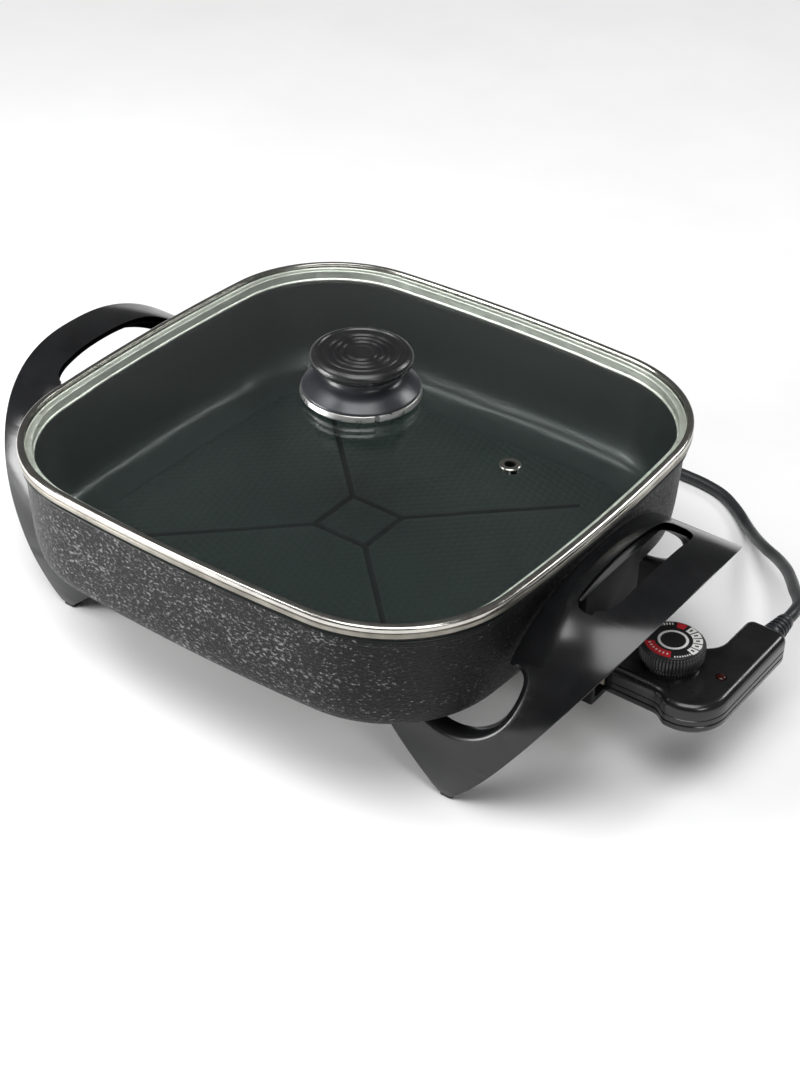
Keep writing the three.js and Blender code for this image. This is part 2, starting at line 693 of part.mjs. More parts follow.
// The socket block plugs over the two terminal pins.
function socketBlock() {
  const tall = [CASE_BOTTOM + 1.6, PAN_BOTTOM - 0.8];
  const block = box(NOSE_START, CASE_START - FIT, -NOSE_HALF, NOSE_HALF, ...tall);
  const tail = box(CASE_START - 1, CASE_START + 4, -16.4, 16.4, CASE_BOTTOM + 3.6, CASE_TOP - 3.6);
  const bores = [-PIN_Y, PIN_Y].map((y) => (
    rodX(4.6, NOSE_START - 1, CASE_START + 5, y, ELEMENT_Z, 14)));
  const middle = rodX(3.6, NOSE_START - 1, CASE_START + 5, 0, ELEMENT_Z, 14);
  return cut(join(block, tail), ...bores, middle);
}

add('socket_block', socketBlock(), mica);

for (const [side, sign] of [['near', -1], ['far', 1]]) {
  const outside = rodX(4.2, NOSE_START + 1, CASE_START + 8, sign * PIN_Y, ELEMENT_Z, 14);
  const bore = rodX(2.8, NOSE_START, CASE_START - 10, sign * PIN_Y, ELEMENT_Z, 12);
  add(`contact_socket_${side}`, cut(outside, bore), brass);
}

const PROBE_TIP = 70;
add('thermostat_probe', join(
  rodX(3.2, PROBE_TIP, CASE_START + 4, 0, ELEMENT_Z, 10),
  new THREE.SphereGeometry(3.2, 10, 6).translate(PROBE_TIP, 0, ELEMENT_Z)), steel);

add('thermostat_frame', cut(
  box(CASE_START + 4.4, 214, -7, 7, CASE_BOTTOM + 3, CASE_TOP - 6),
  box(CASE_START + 6, 215, -8, 8, CASE_BOTTOM + 4.2, CASE_TOP - 7.2),
  rodZ(3.6, DIAL_X, 0, 49, 56, 16)), steel);

add('bimetal_blade', box(181, 211, -3, 3, 46.2, 47), brass);
add('contact_carrier', box(206, 211, -4, 4, 47.3, 49.2), mica);

add('dial_spindle', turned([
  [0, 49.5], [2.4, 49.5], [2.4, 50.2], [3.2, 52.2], [3.2, DIAL_TOP - 6], [0, DIAL_TOP - 6],
], 12).translate(DIAL_X, 0, 0), brass);

add('indicator_lens', turned([
  [0, CASE_TOP - 3], [LAMP.r, CASE_TOP - 3], [LAMP.r, CASE_TOP], [LAMP.r - 1, CASE_TOP + 0.9],
  [0, CASE_TOP + 1.3],
], 12).translate(LAMP.x, LAMP.y, 0), lampLens);
add('indicator_lamp', rodX(1.9, LAMP.x - 7, LAMP.x + 5, LAMP.y, CASE_TOP - 5.6, 10), glass);
add('terminal_block', cut(
  box(215, 231, 24, 36, CASE_BOTTOM + 3, CASE_BOTTOM + 9),
  rodZ(1.4, 219, 30, 45, 60, 8), rodZ(1.4, 227, 30, 45, 60, 8)), mica);

// ---- dial ---------------------------------------------------------------

const DIAL_BOTTOM = CASE_TOP - 0.8;

add('dial_skirt', cut(turned([
  [0, DIAL_BOTTOM], [13.8, DIAL_BOTTOM], [14.4, DIAL_TOP - 10.4], [0, DIAL_TOP - 10.4],
], 28), rodZ(3.5, 0, 0, 40, 80, 12)).translate(DIAL_X, 0, 0), plastic);

add('dial_knob', cut(turned([
  [0, DIAL_TOP - 10.1], [15.6, DIAL_TOP - 10.1], [DIAL_R, DIAL_TOP - 8.6],
  [DIAL_R, DIAL_TOP - 1.6], [DIAL_R - 1, DIAL_TOP - 0.9], [0, DIAL_TOP - 0.9],
], 28), rodZ(3.5, 0, 0, 40, DIAL_TOP - 5, 12)).translate(DIAL_X, 0, 0), plastic);

add('dial_face', turned([
  [0, DIAL_TOP - 0.6], [DIAL_R - 1.6, DIAL_TOP - 0.6], [DIAL_R - 1.8, DIAL_TOP], [0, DIAL_TOP],
], 28).translate(DIAL_X, 0, 0), plastic);

// ---- cord ---------------------------------------------------------------

add('strain_relief', turned([
  [0, ELBOW_FAR + FIT], [6.4, ELBOW_FAR + FIT], [6.2, ELBOW_FAR + 6], [5.4, ELBOW_FAR + 6],
  [5.4, ELBOW_FAR + 7.5], [6, ELBOW_FAR + 7.5], [5.6, ELBOW_FAR + 12], [4.8, ELBOW_FAR + 12],
  [4.8, ELBOW_FAR + 13.5], [5.4, ELBOW_FAR + 13.5], [4.6, GLAND_END], [0, GLAND_END],
], 14).rotateX(-Math.PI / 2).translate(GLAND_X, 0, GLAND_Z), rubber);

const FLOOR_Z = CORD_R;

// The route of the free cord from the strain relief to the coil.
const CORD_ROUTE = [
  [GLAND_X, GLAND_END + FIT, GLAND_Z], [GLAND_X, 86, GLAND_Z], [222, 97, 48],
  [217, 107, 44.6], [210.5, 117, 40.6], [202, 131, 35.4], [192, 146, 29.6],
  [180, 160, 23.6], [166, 173.5, 17.2], [153, 187.5, 10.8], [140, 202, 5.6],
  [125.5, 216, 3.7], [111, 225.5, FLOOR_Z], [96, 229.5, FLOOR_Z], [81, 230.5, FLOOR_Z],
  [65, 230.5, FLOOR_Z], [48, 232, FLOOR_Z], [31, 236, FLOOR_Z], [16, 241, FLOOR_Z],
  [3, 245.2, FLOOR_Z], [-9.2, 248.2, FLOOR_Z],
];

// The few diameters of cord between the coil and the plug.
const TAIL_ROUTE = [
  [-9.2, PLUG_Y, PLUG_Z + 0.9], [-3, PLUG_Y, PLUG_Z + 0.6], [4, PLUG_Y, PLUG_Z + 0.2],
  [PLUG_X - 4, PLUG_Y, PLUG_Z], [PLUG_X - FIT, PLUG_Y, PLUG_Z],
];

function cordRun(points, steps) {
  const curve = new THREE.CatmullRomCurve3(points.map((p) => new THREE.Vector3(...p)));
  return tube(curve, CORD_R, steps, CORD_SIDES);
}

add('power_cord', cordRun(CORD_ROUTE, 24), rubber);
add('cord_tail', cordRun(TAIL_ROUTE, 4), rubber);

const coilBase = 0.2;
add('cord_coil', turned([
  [COIL.inner, coilBase], [COIL.outer, coilBase], [COIL.outer, COIL.height],
  [COIL.inner, COIL.height], [COIL.inner, coilBase],
], 28).translate(COIL.x, COIL.y, 0), rubber);

// Strap that holds the coil's turns together.
function coilTie() {
  const gap = 0.6;
  const middle = (COIL.inner + COIL.outer) / 2;
  const half = (COIL.outer - COIL.inner) / 2 + gap;
  const outside = box(middle - half - 1, middle + half + 1, -4, 4, coilBase - 0.2, COIL.height + 1.6);
  const inside = box(middle - half, middle + half, -5, 5, -1, COIL.height + gap);
  return cut(outside, inside);
}

add('coil_tie', coilTie(), rubber).position.set(COIL.x, COIL.y, 0);

const PLUG_BODY = PLUG_X + 20;

add('plug_body', join(
  turned([
    [0, PLUG_X], [4.4, PLUG_X], [6.2, PLUG_BODY + 1], [0, PLUG_BODY + 1],
  ], 14).rotateX(Math.PI / 2).rotateZ(Math.PI / 2).translate(0, PLUG_Y, PLUG_Z),
  slab(roundedRect(PLUG_BODY, PLUG_BODY + 27, PLUG_Y - 13, PLUG_Y + 13, 5), 1, 17)), rubber);

for (const [side, sign] of [['near', -1], ['far', 1]]) {
  const x0 = PLUG_BODY + 27 + FIT;
  const y = PLUG_Y + sign * 6.35;
  const blade = cut(
    box(x0, x0 + 16, y - 0.75, y + 0.75, PLUG_Z - 3.2, PLUG_Z + 3.2),
    rodX(1.2, -2, 2, 0, 0, 8).rotateZ(Math.PI / 2).translate(x0 + 12, y, PLUG_Z));
  add(`plug_blade_${side}`, blade, brass);
}

export default part;
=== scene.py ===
# The looks of an electric frying pan with a glass lid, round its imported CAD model.
# Shapes are drawn in millimetres about the middle of the pan at table height, as
# they are in the CAD, and settle() turns them into metres in the row frame.
import math
from functools import partial

import bmesh
import bpy
from mathutils import Matrix, Vector


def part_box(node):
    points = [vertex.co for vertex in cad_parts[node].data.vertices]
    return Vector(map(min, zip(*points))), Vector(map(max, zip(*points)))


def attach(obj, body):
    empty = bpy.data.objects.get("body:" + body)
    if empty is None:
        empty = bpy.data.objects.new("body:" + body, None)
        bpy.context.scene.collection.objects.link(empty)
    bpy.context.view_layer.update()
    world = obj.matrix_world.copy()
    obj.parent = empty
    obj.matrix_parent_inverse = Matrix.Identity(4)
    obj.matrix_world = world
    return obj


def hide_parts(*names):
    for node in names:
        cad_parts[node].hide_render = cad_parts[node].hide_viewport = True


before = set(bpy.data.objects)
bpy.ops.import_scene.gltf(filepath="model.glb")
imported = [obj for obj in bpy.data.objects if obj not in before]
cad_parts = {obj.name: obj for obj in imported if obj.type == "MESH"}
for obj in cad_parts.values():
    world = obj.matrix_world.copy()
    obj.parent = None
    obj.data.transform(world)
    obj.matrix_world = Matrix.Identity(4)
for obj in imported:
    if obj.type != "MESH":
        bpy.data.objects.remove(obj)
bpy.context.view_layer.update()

MM = 0.001
pan_low, pan_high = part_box("pan_body")
PAN_X = (pan_low.x + pan_high.x) / 2  # the pan's middle in the row frame, metres


def top_of(node):
    """Height of the top of a CAD node, millimetres."""
    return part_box(node)[1].z / MM


def row_point(x, y, z):
    """A drawn point in the row frame, metres."""
    return (x * MM + PAN_X, y * MM, z * MM)


# ---- driving sizes, millimetres ----

PAN_HALF = 150.5
PAN_CORNER = 74
SIDE_RADIUS = 1200
PAN_BOTTOM = 55
PAN_FLOOR = 59
PAN_RIM = 118.7
LID_HALF = 153
LID_Z = 119
BAND_HEIGHT = 6.5
GLASS_HALF = LID_HALF - 2.2
GLASS_THICK = 4
DOME_RISE = 19
VENT_X = 95
APEX = 143.6
KNOB_TOP = top_of("knob_cap")
ARCH_HALF = 101
ARCH_TOP = 113
ARCH_POWER = 2.4  # the handle's arch is a superellipse of this power
PAD = 2  # the legs stand on rubber pads as thick as this
FOOT_TUCK = 2  # the legs draw in by this much at the feet
DECK_THICK = 3.2
HANDLE_OUT = 211
SLOT_IN, SLOT_OUT = 166.5, 185
SLOT_Y, SLOT_HALF = 1.5, 45  # middle and half length of the grip's slot
FLANGE_LOW = 104  # lower edge of the flange round the slot
NOTCH_X, NOTCH_Z, NOTCH_R, NOTCH_TOP = 127.5, 74.3, 32, 81
SCREW_X, SCREW_Y = 84, 89  # the screws that hold the handles to the pan
HEAD_Z, HEAD_R = 45.7, 4.4  # and their heads
ELEMENT_Z = 48.5  # the heating tube and the probe lie at this height
PROBE_BORE, PROBE_R = 3.6, 3.2
DIAL_X = 198
DIAL_TOP = top_of("dial_face")
CORD_R = 3.5

# ---- camera ----

AZIMUTH, ELEVATION, ROLL = 35.08, 35.25, 1.78  # degrees
LENS = 71.29  # millimetres, on a sensor whose long side is 36 mm
LID_SEEN_AT = Vector((-0.02118, 0.05444, -1.129))  # the lid's middle in the camera's axes


def make_camera():
    az, el, roll = (math.radians(a) for a in (AZIMUTH, ELEVATION, ROLL))
    back = Vector((math.sin(az) * math.cos(el), -math.cos(az) * math.cos(el), math.sin(el)))
    right = (-back).cross(Vector((0, 0, 1))).normalized()
    up = right.cross(-back)
    tilted_right = right * math.cos(roll) + up * math.sin(roll)
    tilted_up = up * math.cos(roll) - right * math.sin(roll)
    turn = Matrix((tilted_right, tilted_up, back)).transposed()
    place = Vector(row_point(0, 0, LID_Z)) - turn @ LID_SEEN_AT
    data = bpy.data.cameras.new("camera")
    data.lens = LENS
    data.clip_start = 0.05
    camera = bpy.data.objects.new("camera", data)
    camera.matrix_world = Matrix.Translation(place) @ turn.to_4x4()
    bpy.context.scene.collection.objects.link(camera)
    bpy.context.scene.camera = camera


make_camera()

# ---- material nodes ----


def shader_of(made):
    return made.node_tree.nodes["Principled BSDF"]


def new_material(name, **sockets):
    """A Principled material with plain values on its sockets."""
    made = bpy.data.materials.new(name)
    made.use_nodes = True
    for socket, value in sockets.items():
        shader_of(made).inputs[socket.replace("_", " ")].default_value = value
    return made


def add(made, kind, sockets, **settings):
    """Adds a node and returns its outputs. A socket gets a plain value or a link."""
    node = made.node_tree.nodes.new("ShaderNode" + kind)
    for name, value in settings.items():
        setattr(node, name, value)
    for name, value in sockets.items():
        if isinstance(value, bpy.types.NodeSocket):
            made.node_tree.links.new(value, node.inputs[name])
        else:
            node.inputs[name].default_value = value
    return node.outputs


def noise(made, scale, detail=3.0, roughness=0.55, stretch=(1, 1, 1), turn=(0, 0, 0)):
    """Noise in the object's own space; scale is in features per metre."""
    place = add(made, "Mapping", {
        "Vector": add(made, "TexCoord", {})["Object"], "Scale": stretch, "Rotation": turn})
    return add(made, "TexNoise", {"Vector": place["Vector"], "Scale": scale, "Detail": detail,
                                  "Roughness": roughness})["Fac"]


def spread(made, pattern, low, high, start=0.35, end=0.65):
    """Maps a pattern's middle range to low..high."""
    return add(made, "MapRange", {"Value": pattern, "From Min": start, "From Max": end,
                                  "To Min": low, "To Max": high})["Result"]


def blend_colors(made, pattern, dark, light, start=0.35, end=0.65):
    ramp = made.node_tree.nodes.new("ShaderNodeValToRGB")
    for stop, place, color in zip(ramp.color_ramp.elements, (start, end), (dark, light)):
        stop.position = place
        stop.color = (*color, 1)
    made.node_tree.links.new(pattern, ramp.inputs["Fac"])
    return ramp.outputs["Color"]


def calculate(made, operation, *values):
    return add(made, "Math", dict(enumerate(values)), operation=operation)[0]


def feed(made, socket, value):
    made.node_tree.links.new(value, shader_of(made).inputs[socket])


def bump(made, pattern, strength, height):
    """A bump of the given height in metres."""
    feed(made, "Normal", add(made, "Bump", {
        "Height": pattern, "Strength": strength, "Distance": height})["Normal"])


def moulded(name, dark, light, rough, grain=900, depth=0.00002, **sockets):
    """Moulded surface: fine grain, faint mottling and uneven gloss."""
    made = new_material(name, **sockets)
    feed(made, "Base Color", blend_colors(made, noise(made, 60), dark, light))
    feed(made, "Roughness", spread(made, noise(made, 35, 4), *rough))
    bump(made, noise(made, grain, 2), 0.5, depth)
    return made


def metal(name, dark, light, rough, depth=0.00001):
    """Bare metal: faint stains, uneven polish and fine scratches."""
    made = new_material(name, Metallic=1.0)
    feed(made, "Base Color", blend_colors(made, noise(made, 80), dark, light))
    feed(made, "Roughness", spread(made, noise(made, 300, 3, 0.6), *rough))
    bump(made, noise(made, 1500, 2, 0.5), 0.3, depth)
    return made


def hammered_coat():
    """Dark paint over hammered casting. Its pale flecks are partly the coat's own speckle and
    partly painted glints of the hammered bumps. They are painted stronger on the sides that face
    along Y and fainter on the others, as painted shade.
    """
    made = new_material("hammered_coat", Specular_IOR_Level=0.22)
    fleck = noise(made, 460, 4, 0.65, (1, 1, 1.6), (0, 0.6, 0.5))
    clouded = calculate(made, "MULTIPLY_ADD", noise(made, 60, 3), 0.2, fleck)
    # Painted light: the pale flecks fade where a face does not look along Y, as if those sides lay
    # in shade.
    facing = add(made, "SeparateXYZ", {0: add(made, "NewGeometry", {})["Normal"]})
    along_y = calculate(made, "ABSOLUTE", facing["Y"])
    side_lit_flecks = calculate(made, "ADD", clouded, spread(made, along_y, -0.08, 0.0, 0.65, 1.0))
    feed(made, "Base Color",
         blend_colors(made, side_lit_flecks, (0.002, 0.002, 0.0022), (0.24,) * 3, 0.655, 0.76))
    feed(made, "Roughness", spread(made, fleck, 0.5, 0.3, 0.4, 0.65))
    bump(made, fleck, 1.0, 0.0009)
    return made


def pan_coat(name, shine, dark, light, rough):
    """Non-stick coat with a faint fine grain."""
    made = new_material(name, Specular_IOR_Level=shine)
    feed(made, "Base Color", blend_colors(made, noise(made, 1400, 2), dark, light))
    feed(made, "Roughness", spread(made, noise(made, 900, 3), *rough))
    return made


def clear_glass():
    """Glass that lets the lamps through to what is under it."""
    made = new_material("tempered_glass", Transmission_Weight=1.0, IOR=1.45,
                        Base_Color=(0.95, 0.985, 0.97, 1))
    feed(made, "Roughness", spread(made, noise(made, 40), 0.0, 0.02))
    clear = add(made, "BsdfTransparent", {"Color": (0.92, 0.96, 0.94, 1)})["BSDF"]
    mixed = add(made, "MixShader", {"Fac": add(made, "LightPath", {})["Is Shadow Ray"],
                                    1: shader_of(made).outputs["BSDF"], 2: clear})["Shader"]
    made.node_tree.links.new(mixed, made.node_tree.nodes["Material Output"].inputs["Surface"])
    return made


HAMMERED = hammered_coat()
NONSTICK = pan_coat(
    "nonstick", 0.4, (0.0035, 0.0065, 0.0062), (0.0065, 0.011, 0.0102), (0.33, 0.37))
bump(NONSTICK, noise(NONSTICK, 1500, 2), 0.12, 0.00003)
# The panel's grooves are drawn darker and duller than the panel round them.
GROOVE_DARK = pan_coat(
    "groove_darker", 0.12, (0.0008, 0.0012, 0.0014), (0.0016, 0.0026, 0.0028), (0.6, 0.7))
BAKELITE = moulded("bakelite", (0.005, 0.0052, 0.0058), (0.0085, 0.0088, 0.0096), (0.16, 0.23),
                   1200, 0.000012)
# Dull black moulding of the terminal shroud; the same material paints the vent's bore as painted
# shade.
DULL_BLACK_AND_SHADE = moulded("dull_bakelite_and_painted_shade", (0.003, 0.003, 0.0035), (0.005, 0.005, 0.0055), (0.5, 0.6),
                     1200, Specular_IOR_Level=0.15)
KNOB_BLACK = moulded(
    "knob_bakelite", (0.01, 0.01, 0.011), (0.018, 0.018, 0.019), (0.24, 0.32), 1200, 0.000015)
# Painted sheen: the knob's skirt is black bakelite drawn lighter and bluer than the cap.
SKIRT_SHEEN_BLACK = moulded(
    "knob_skirt_bakelite_painted_sheen", (0.02, 0.022, 0.026), (0.03, 0.033, 0.038), (0.26, 0.34), 1200, 0.000015)
CASE_BLACK = moulded(
    "controller_plastic", (0.007, 0.007, 0.0075), (0.012, 0.012, 0.013), (0.2, 0.3), 1000)
DIAL_BLACK = moulded("dial_plastic", (0.01, 0.01, 0.011), (0.016, 0.016, 0.017), (0.3, 0.42), 1400)
RUBBER = moulded("rubber", (0.016, 0.016, 0.017), (0.03, 0.03, 0.031), (0.5, 0.66), 1600, 0.00004)
CORD_BLACK = moulded(
    "cord_vinyl", (0.012, 0.013, 0.015), (0.02, 0.022, 0.024), (0.34, 0.46), 900, 0.00003)
STEEL = metal("polished_steel", (0.5, 0.485, 0.45), (0.62, 0.605, 0.56), (0.14, 0.24))
# Painted light: the band's inner faces are drawn pale, as if lit from above, where a steel face
# turned into the pan would look dark. The rough satin finish is partly the band's own.
PALE_LIT_SATIN = metal("satin_steel_painted_light", (0.74, 0.73, 0.67), (0.86, 0.85, 0.79), (0.4, 0.55))
# Painted shade: the lid band's low groove and the faces below it are drawn in darker steel.
GROOVE_SHADE_STEEL = metal("band_groove_painted_shade", (0.2, 0.19, 0.165), (0.3, 0.285, 0.25), (0.3, 0.4))
PLATED = metal("plated_steel", (0.45, 0.45, 0.44), (0.58, 0.58, 0.57), (0.25, 0.42))
SHEATH = metal("heater_sheath", (0.1, 0.09, 0.08), (0.22, 0.2, 0.17), (0.4, 0.6), 0.00003)
BRASS = metal("brass", (0.52, 0.36, 0.15), (0.66, 0.48, 0.22), (0.25, 0.4))
CERAMIC = moulded("ceramic", (0.42, 0.37, 0.28), (0.56, 0.5, 0.39), (0.6, 0.75), 1200, 0.00004)
WHITE_PRINT = moulded("white_print", (0.72, 0.72, 0.7), (0.84, 0.84, 0.82), (0.4, 0.5), 1500)
RED_PRINT = moulded("red_print", (0.42, 0.012, 0.018), (0.62, 0.03, 0.04), (0.35, 0.45), 1500)
LENS_RED = moulded("lamp_lens", (0.022, 0.004, 0.003), (0.035, 0.006, 0.004), (0.06, 0.1), 900)
GLASS = clear_glass()

# ---- mesh helpers ----


def solid(verts, faces):
    """A loose object in drawn millimetres; settle() finishes it."""
    mesh = bpy.data.meshes.new("drawn")
    mesh.from_pydata(verts, [], faces)
    mesh.update()
    made = bpy.data.objects.new("drawn", mesh)
    bpy.context.scene.collection.objects.link(made)
    return made


def edit(thing, change):
    """Runs change(bm) on an object's mesh."""
    bm = bmesh.new()
    bm.from_mesh(thing.data)
    change(bm)
    bm.to_mesh(thing.data)
    bm.free()
    return thing


def skin(rings, loop=False):
    """Quads between rings of points; open ends get one flat face each."""
    count = len(rings[0])
    verts = [p for ring in rings for p in ring]
    faces = []
    for k in range(len(rings) if loop else len(rings) - 1):
        a, b = k * count, (k + 1) % len(rings) * count
        for i in range(count):
            j = (i + 1) % count
            faces.append((a + i, a + j, b + j, b + i))
    if not loop:
        end = (len(rings) - 1) * count
        faces.append(tuple(reversed(range(count))))
        faces.append(tuple(range(end, end + count)))
    return edit(solid(verts, faces), lambda bm: bmesh.ops.recalc_face_normals(bm, faces=bm.faces))


def prism(outline, low, high, axis):
    """An outline drawn out along an axis. It is in (y, z), (x, z) or (x, y) order."""
    at = "xyz".index(axis)
    return skin([[(*p[:at], level, *p[at:]) for p in outline] for level in (low, high)])


def block(x0, x1, y0, y1, z0, z1):
    return prism([(x0, y0), (x1, y0), (x1, y1), (x0, y1)], z0, z1, "z")


def turns(sides):
    """Angles of a whole turn."""
    return [2 * math.pi * i / sides for i in range(sides)]


def circle(radius, x, y, sides=48):
    return [(x + radius * math.cos(t), y + radius * math.sin(t)) for t in turns(sides)]


def rod(radius, x, y, z0, z1, sides=48):
    return prism(circle(radius, x, y, sides), z0, z1, "z")


def combine(operation, base, *tools):
    """Boolean of base with each tool; the tools are used up."""
    for tool in tools:
        change = base.modifiers.new("change", "BOOLEAN")
        change.operation = operation
        change.solver = "EXACT"
        change.object = tool
        shown = base.evaluated_get(bpy.context.evaluated_depsgraph_get())
        mesh = bpy.data.meshes.new_from_object(shown)
        base.modifiers.clear()
        base.data = mesh
        bpy.data.objects.remove(tool)
    return base


cut, join, common = (partial(combine, kind) for kind in ("DIFFERENCE", "UNION", "INTERSECT"))


def placed(thing, at=(0, 0, 0), degrees=0, axis="Z"):
    """Turns a drawn piece about an axis and moves it."""
    turn = Matrix.Rotation(math.radians(degrees), 4, axis)
    thing.data.transform(Matrix.Translation(at) @ turn)
    return thing


def ease_edges(thing, width):
    """Rounds the sharp edges of a piece."""
    merged, flat, sharp = 0.03, math.radians(0.6), math.radians(35)

    def change(bm):
        bmesh.ops.remove_doubles(bm, verts=bm.verts, dist=merged)
        bmesh.ops.dissolve_limit(bm, angle_limit=flat, verts=bm.verts, edges=bm.edges)
        edges = [e for e in bm.edges if e.is_manifold and e.calc_face_angle(0) > sharp]
        bmesh.ops.bevel(bm, geom=edges, offset=width, segments=2, profile=0.5, affect="EDGES",
                        clamp_overlap=False)
    return edit(thing, change)


def shade(thing, angle):
    """Smooth shading, broken where faces meet at more than an angle."""
    limit = math.radians(angle)

    def change(bm):
        for face in bm.faces:
            face.smooth = True
        for edge in bm.edges:
            edge.smooth = edge.is_manifold and edge.calc_face_angle(0) < limit
    return edit(thing, change)


def settle(thing, name, body, slot, materials, replaces=(), angle=32):
    """Puts a drawn piece in the row frame, names it and hands it to its body."""
    thing.data.transform(Matrix.Translation((PAN_X, 0, 0)) @ Matrix.Scale(MM, 4))
    painted = [face.material_index for face in thing.data.polygons]
    thing.data.materials.clear()
    for made in materials if isinstance(materials, list) else [materials]:
        thing.data.materials.append(made)
    thing.data.polygons.foreach_set("material_index", painted)
    shade(thing, angle)
    thing.name = name
    thing.data.name = name
    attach(thing, body)
    if replaces:
        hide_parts(*replaces)
    return thing


def turned(profile, sides=96, wave=None, loop=False):
    """A turned piece from (radius, height) points; wave(angle) is added to the radius."""
    rings = []
    for r, z in profile:
        ring = []
        for t in turns(sides):
            out = max(r, 0.02) + (wave(t) if wave and r > 1 else 0)
            ring.append((out * math.cos(t), out * math.sin(t), z))
        rings.append(ring)
    return skin(rings, loop)


def bend(start, pull, end, steps):
    """Vectors along a quadratic curve."""
    return [start * (1 - t) ** 2 + pull * 2 * t * (1 - t) + end * t * t
            for t in (i / steps for i in range(steps + 1))]


def soften(points, radius, steps=5):
    """Rounds the inner corners of an open profile. A third value is that corner's own radius."""
    made = [tuple(points[0][:2])]
    for before, at, after in zip(points, points[1:], points[2:]):
        size = at[2] if len(at) > 2 else radius
        a, b, c = (Vector(p[:2]) for p in (before, at, after))
        start, end = (b + (p - b).normalized() * min(size, (p - b).length * 0.48) for p in (a, c))
        made += [tuple(p) for p in bend(start, b, end, steps)]
    made.append(tuple(points[-1][:2]))
    return made


def close_profile(points, radius, steps=4):
    """Rounds every corner of a closed profile."""
    return soften([points[-1], *points, points[0]], radius, steps)[1:-1]


def shifted(points, r, z):
    """A profile drawn from another radius and height."""
    return [(a + r, b + z, *rest) for a, b, *rest in points]


def turned_ring(profile, z, radius, sides=96):
    """A ring turned from a closed profile at height z, its corners rounded."""
    return turned(close_profile(shifted(profile, 0, z), radius), sides, loop=True)


def inset(outline, distance):
    """The outline moved inwards; it runs counter-clockwise."""
    made = []
    count = len(outline)
    for i in range(count):
        a, b, c = (Vector(outline[k % count]) for k in (i - 1, i, i + 1))
        into = (b - a).normalized()
        out = (c - b).normalized()
        normal = Vector((-into.y - out.y, into.x + out.x))
        if normal.length < 1e-6:
            normal = Vector((-into.y, into.x))
        normal.normalize()
        slant = max(0.3, normal.dot(Vector((-into.y, into.x))))
        made.append(tuple(b + normal * (distance / slant)))
    return made


def arc(x, y, r, start, end, steps):
    """Points of an arc between two angles in degrees."""
    angles = [math.radians(start + (end - start) * i / steps) for i in range(steps + 1)]
    return [(x + r * math.cos(t), y + r * math.sin(t)) for t in angles]


def rounded_rect(x0, x1, y0, y1, r):
    near, far, low, high = x0 + r, x1 - r, y0 + r, y1 - r
    made = []
    for x, y, start in ((far, low, -90), (far, high, 0), (near, high, 90), (near, low, 180)):
        made += arc(x, y, r, start, start + 90, 8)
    return made


def stack(outline, levels):
    """A slab from levels of (distance inwards, height) over one outline."""
    return skin([[(x, y, z) for x, y in inset(outline, inward)] for inward, z in levels])


# ---- the rounded square that pan and lid share ----


def square_ring(half, corner, z, side=5, round_steps=14):
    """A level ring with slightly bowed sides and rounded corners."""
    reach = SIDE_RADIUS - corner
    a = half - SIDE_RADIUS
    middle = (a + math.sqrt(2 * reach * reach - a * a)) / 2
    slant = math.degrees(math.atan2(middle, middle - a))
    local = [*arc(a, 0, SIDE_RADIUS, 0, slant, side)[:-1],
             *arc(middle, middle, corner, slant, 90 - slant, round_steps)[:-1],
             *arc(0, a, SIDE_RADIUS, 90 - slant, 90, side)[:-1]]
    ring = []
    for c, s in ((1, 0), (0, 1), (-1, 0), (0, -1)):
        ring += [(c * x - s * y, s * x + c * y, z) for x, y in local]
    return ring


def pan_ring(half, z, *steps):
    """A ring that runs parallel to the pan's outline."""
    return square_ring(half, max(PAN_CORNER - (PAN_HALF - half), 12), z, *steps)


def paint(thing, chosen, index):
    """Gives the faces for which chosen(centre, normal) is true another material."""
    def change(bm):
        for face in bm.faces:
            if chosen(face.calc_center_median(), face.normal):
                face.material_index = index
    return edit(thing, change)


# ---- cord first: route, coil, tail and plug ----

GLAND = (224, 50)  # x and z of the strain relief
CORD_ROUTE = [
    (224, 79.3, 50), (224, 86, 50), (222, 97, 48), (217, 107, 44.6), (210.5, 117, 40.6),
    (202, 131, 35.4), (192, 146, 29.6), (180, 160, 23.6), (166, 173.5, 17.2), (153, 187.5, 10.8),
    (140, 202, 5.6), (125.5, 216, 3.7), (111, 225.5, CORD_R), (96, 229.5, CORD_R),
    (81, 230.5, CORD_R), (65, 230.5, CORD_R), (48, 232, CORD_R), (31, 236, CORD_R),
    (16, 241, CORD_R), (3, 245.2, CORD_R), (-9.2, 248.2, CORD_R),
]
TAIL_ROUTE = [(-9.2, 160, 9.9), (-3, 160, 9.6), (4, 160, 9.2), (12, 160, 9), (15.7, 160, 9)]
COIL_X, COIL_Y = -40, 205
COIL_OUTER, COIL_INNER = 45, 38  # radii of the coil's turns
COIL_TURNS = 2.5
PLUG_Y, PLUG_Z = 160, 9


def ramp(value, start, length):
    """Rises from 0 to 1 over a length from the start."""
    return min(max((value - start) / length, 0), 1)


def coil_points():
    """Lower turn from the outside in, then one and a half turns back out on top of it."""
    made = []
    lead_in, lead_out = 4, 5.5  # the lead-in's points, and how far outside the coil it starts
    for i in range(lead_in):
        share = i / lead_in
        made.append((62 + 28 * share, COIL_OUTER + lead_out * (1 - share) ** 1.6, CORD_R))
    per_turn = 24
    for i in range(int(COIL_TURNS * per_turn) + 1):
        turn = i / per_turn
        inward = (min(turn, 1) - ramp(turn, COIL_TURNS - 1, 0.5)) * (COIL_OUTER - COIL_INNER)
        rise = ramp(turn, 0.94, 0.16)
        height = CORD_R * (1 + 2 * rise * rise * (3 - 2 * rise))
        made.append((90 + 360 * turn, COIL_OUTER - inward, height))
    return [(COIL_X + r * math.cos(math.radians(a)), COIL_Y + r * math.sin(math.radians(a)), z)
            for a, r, z in made]


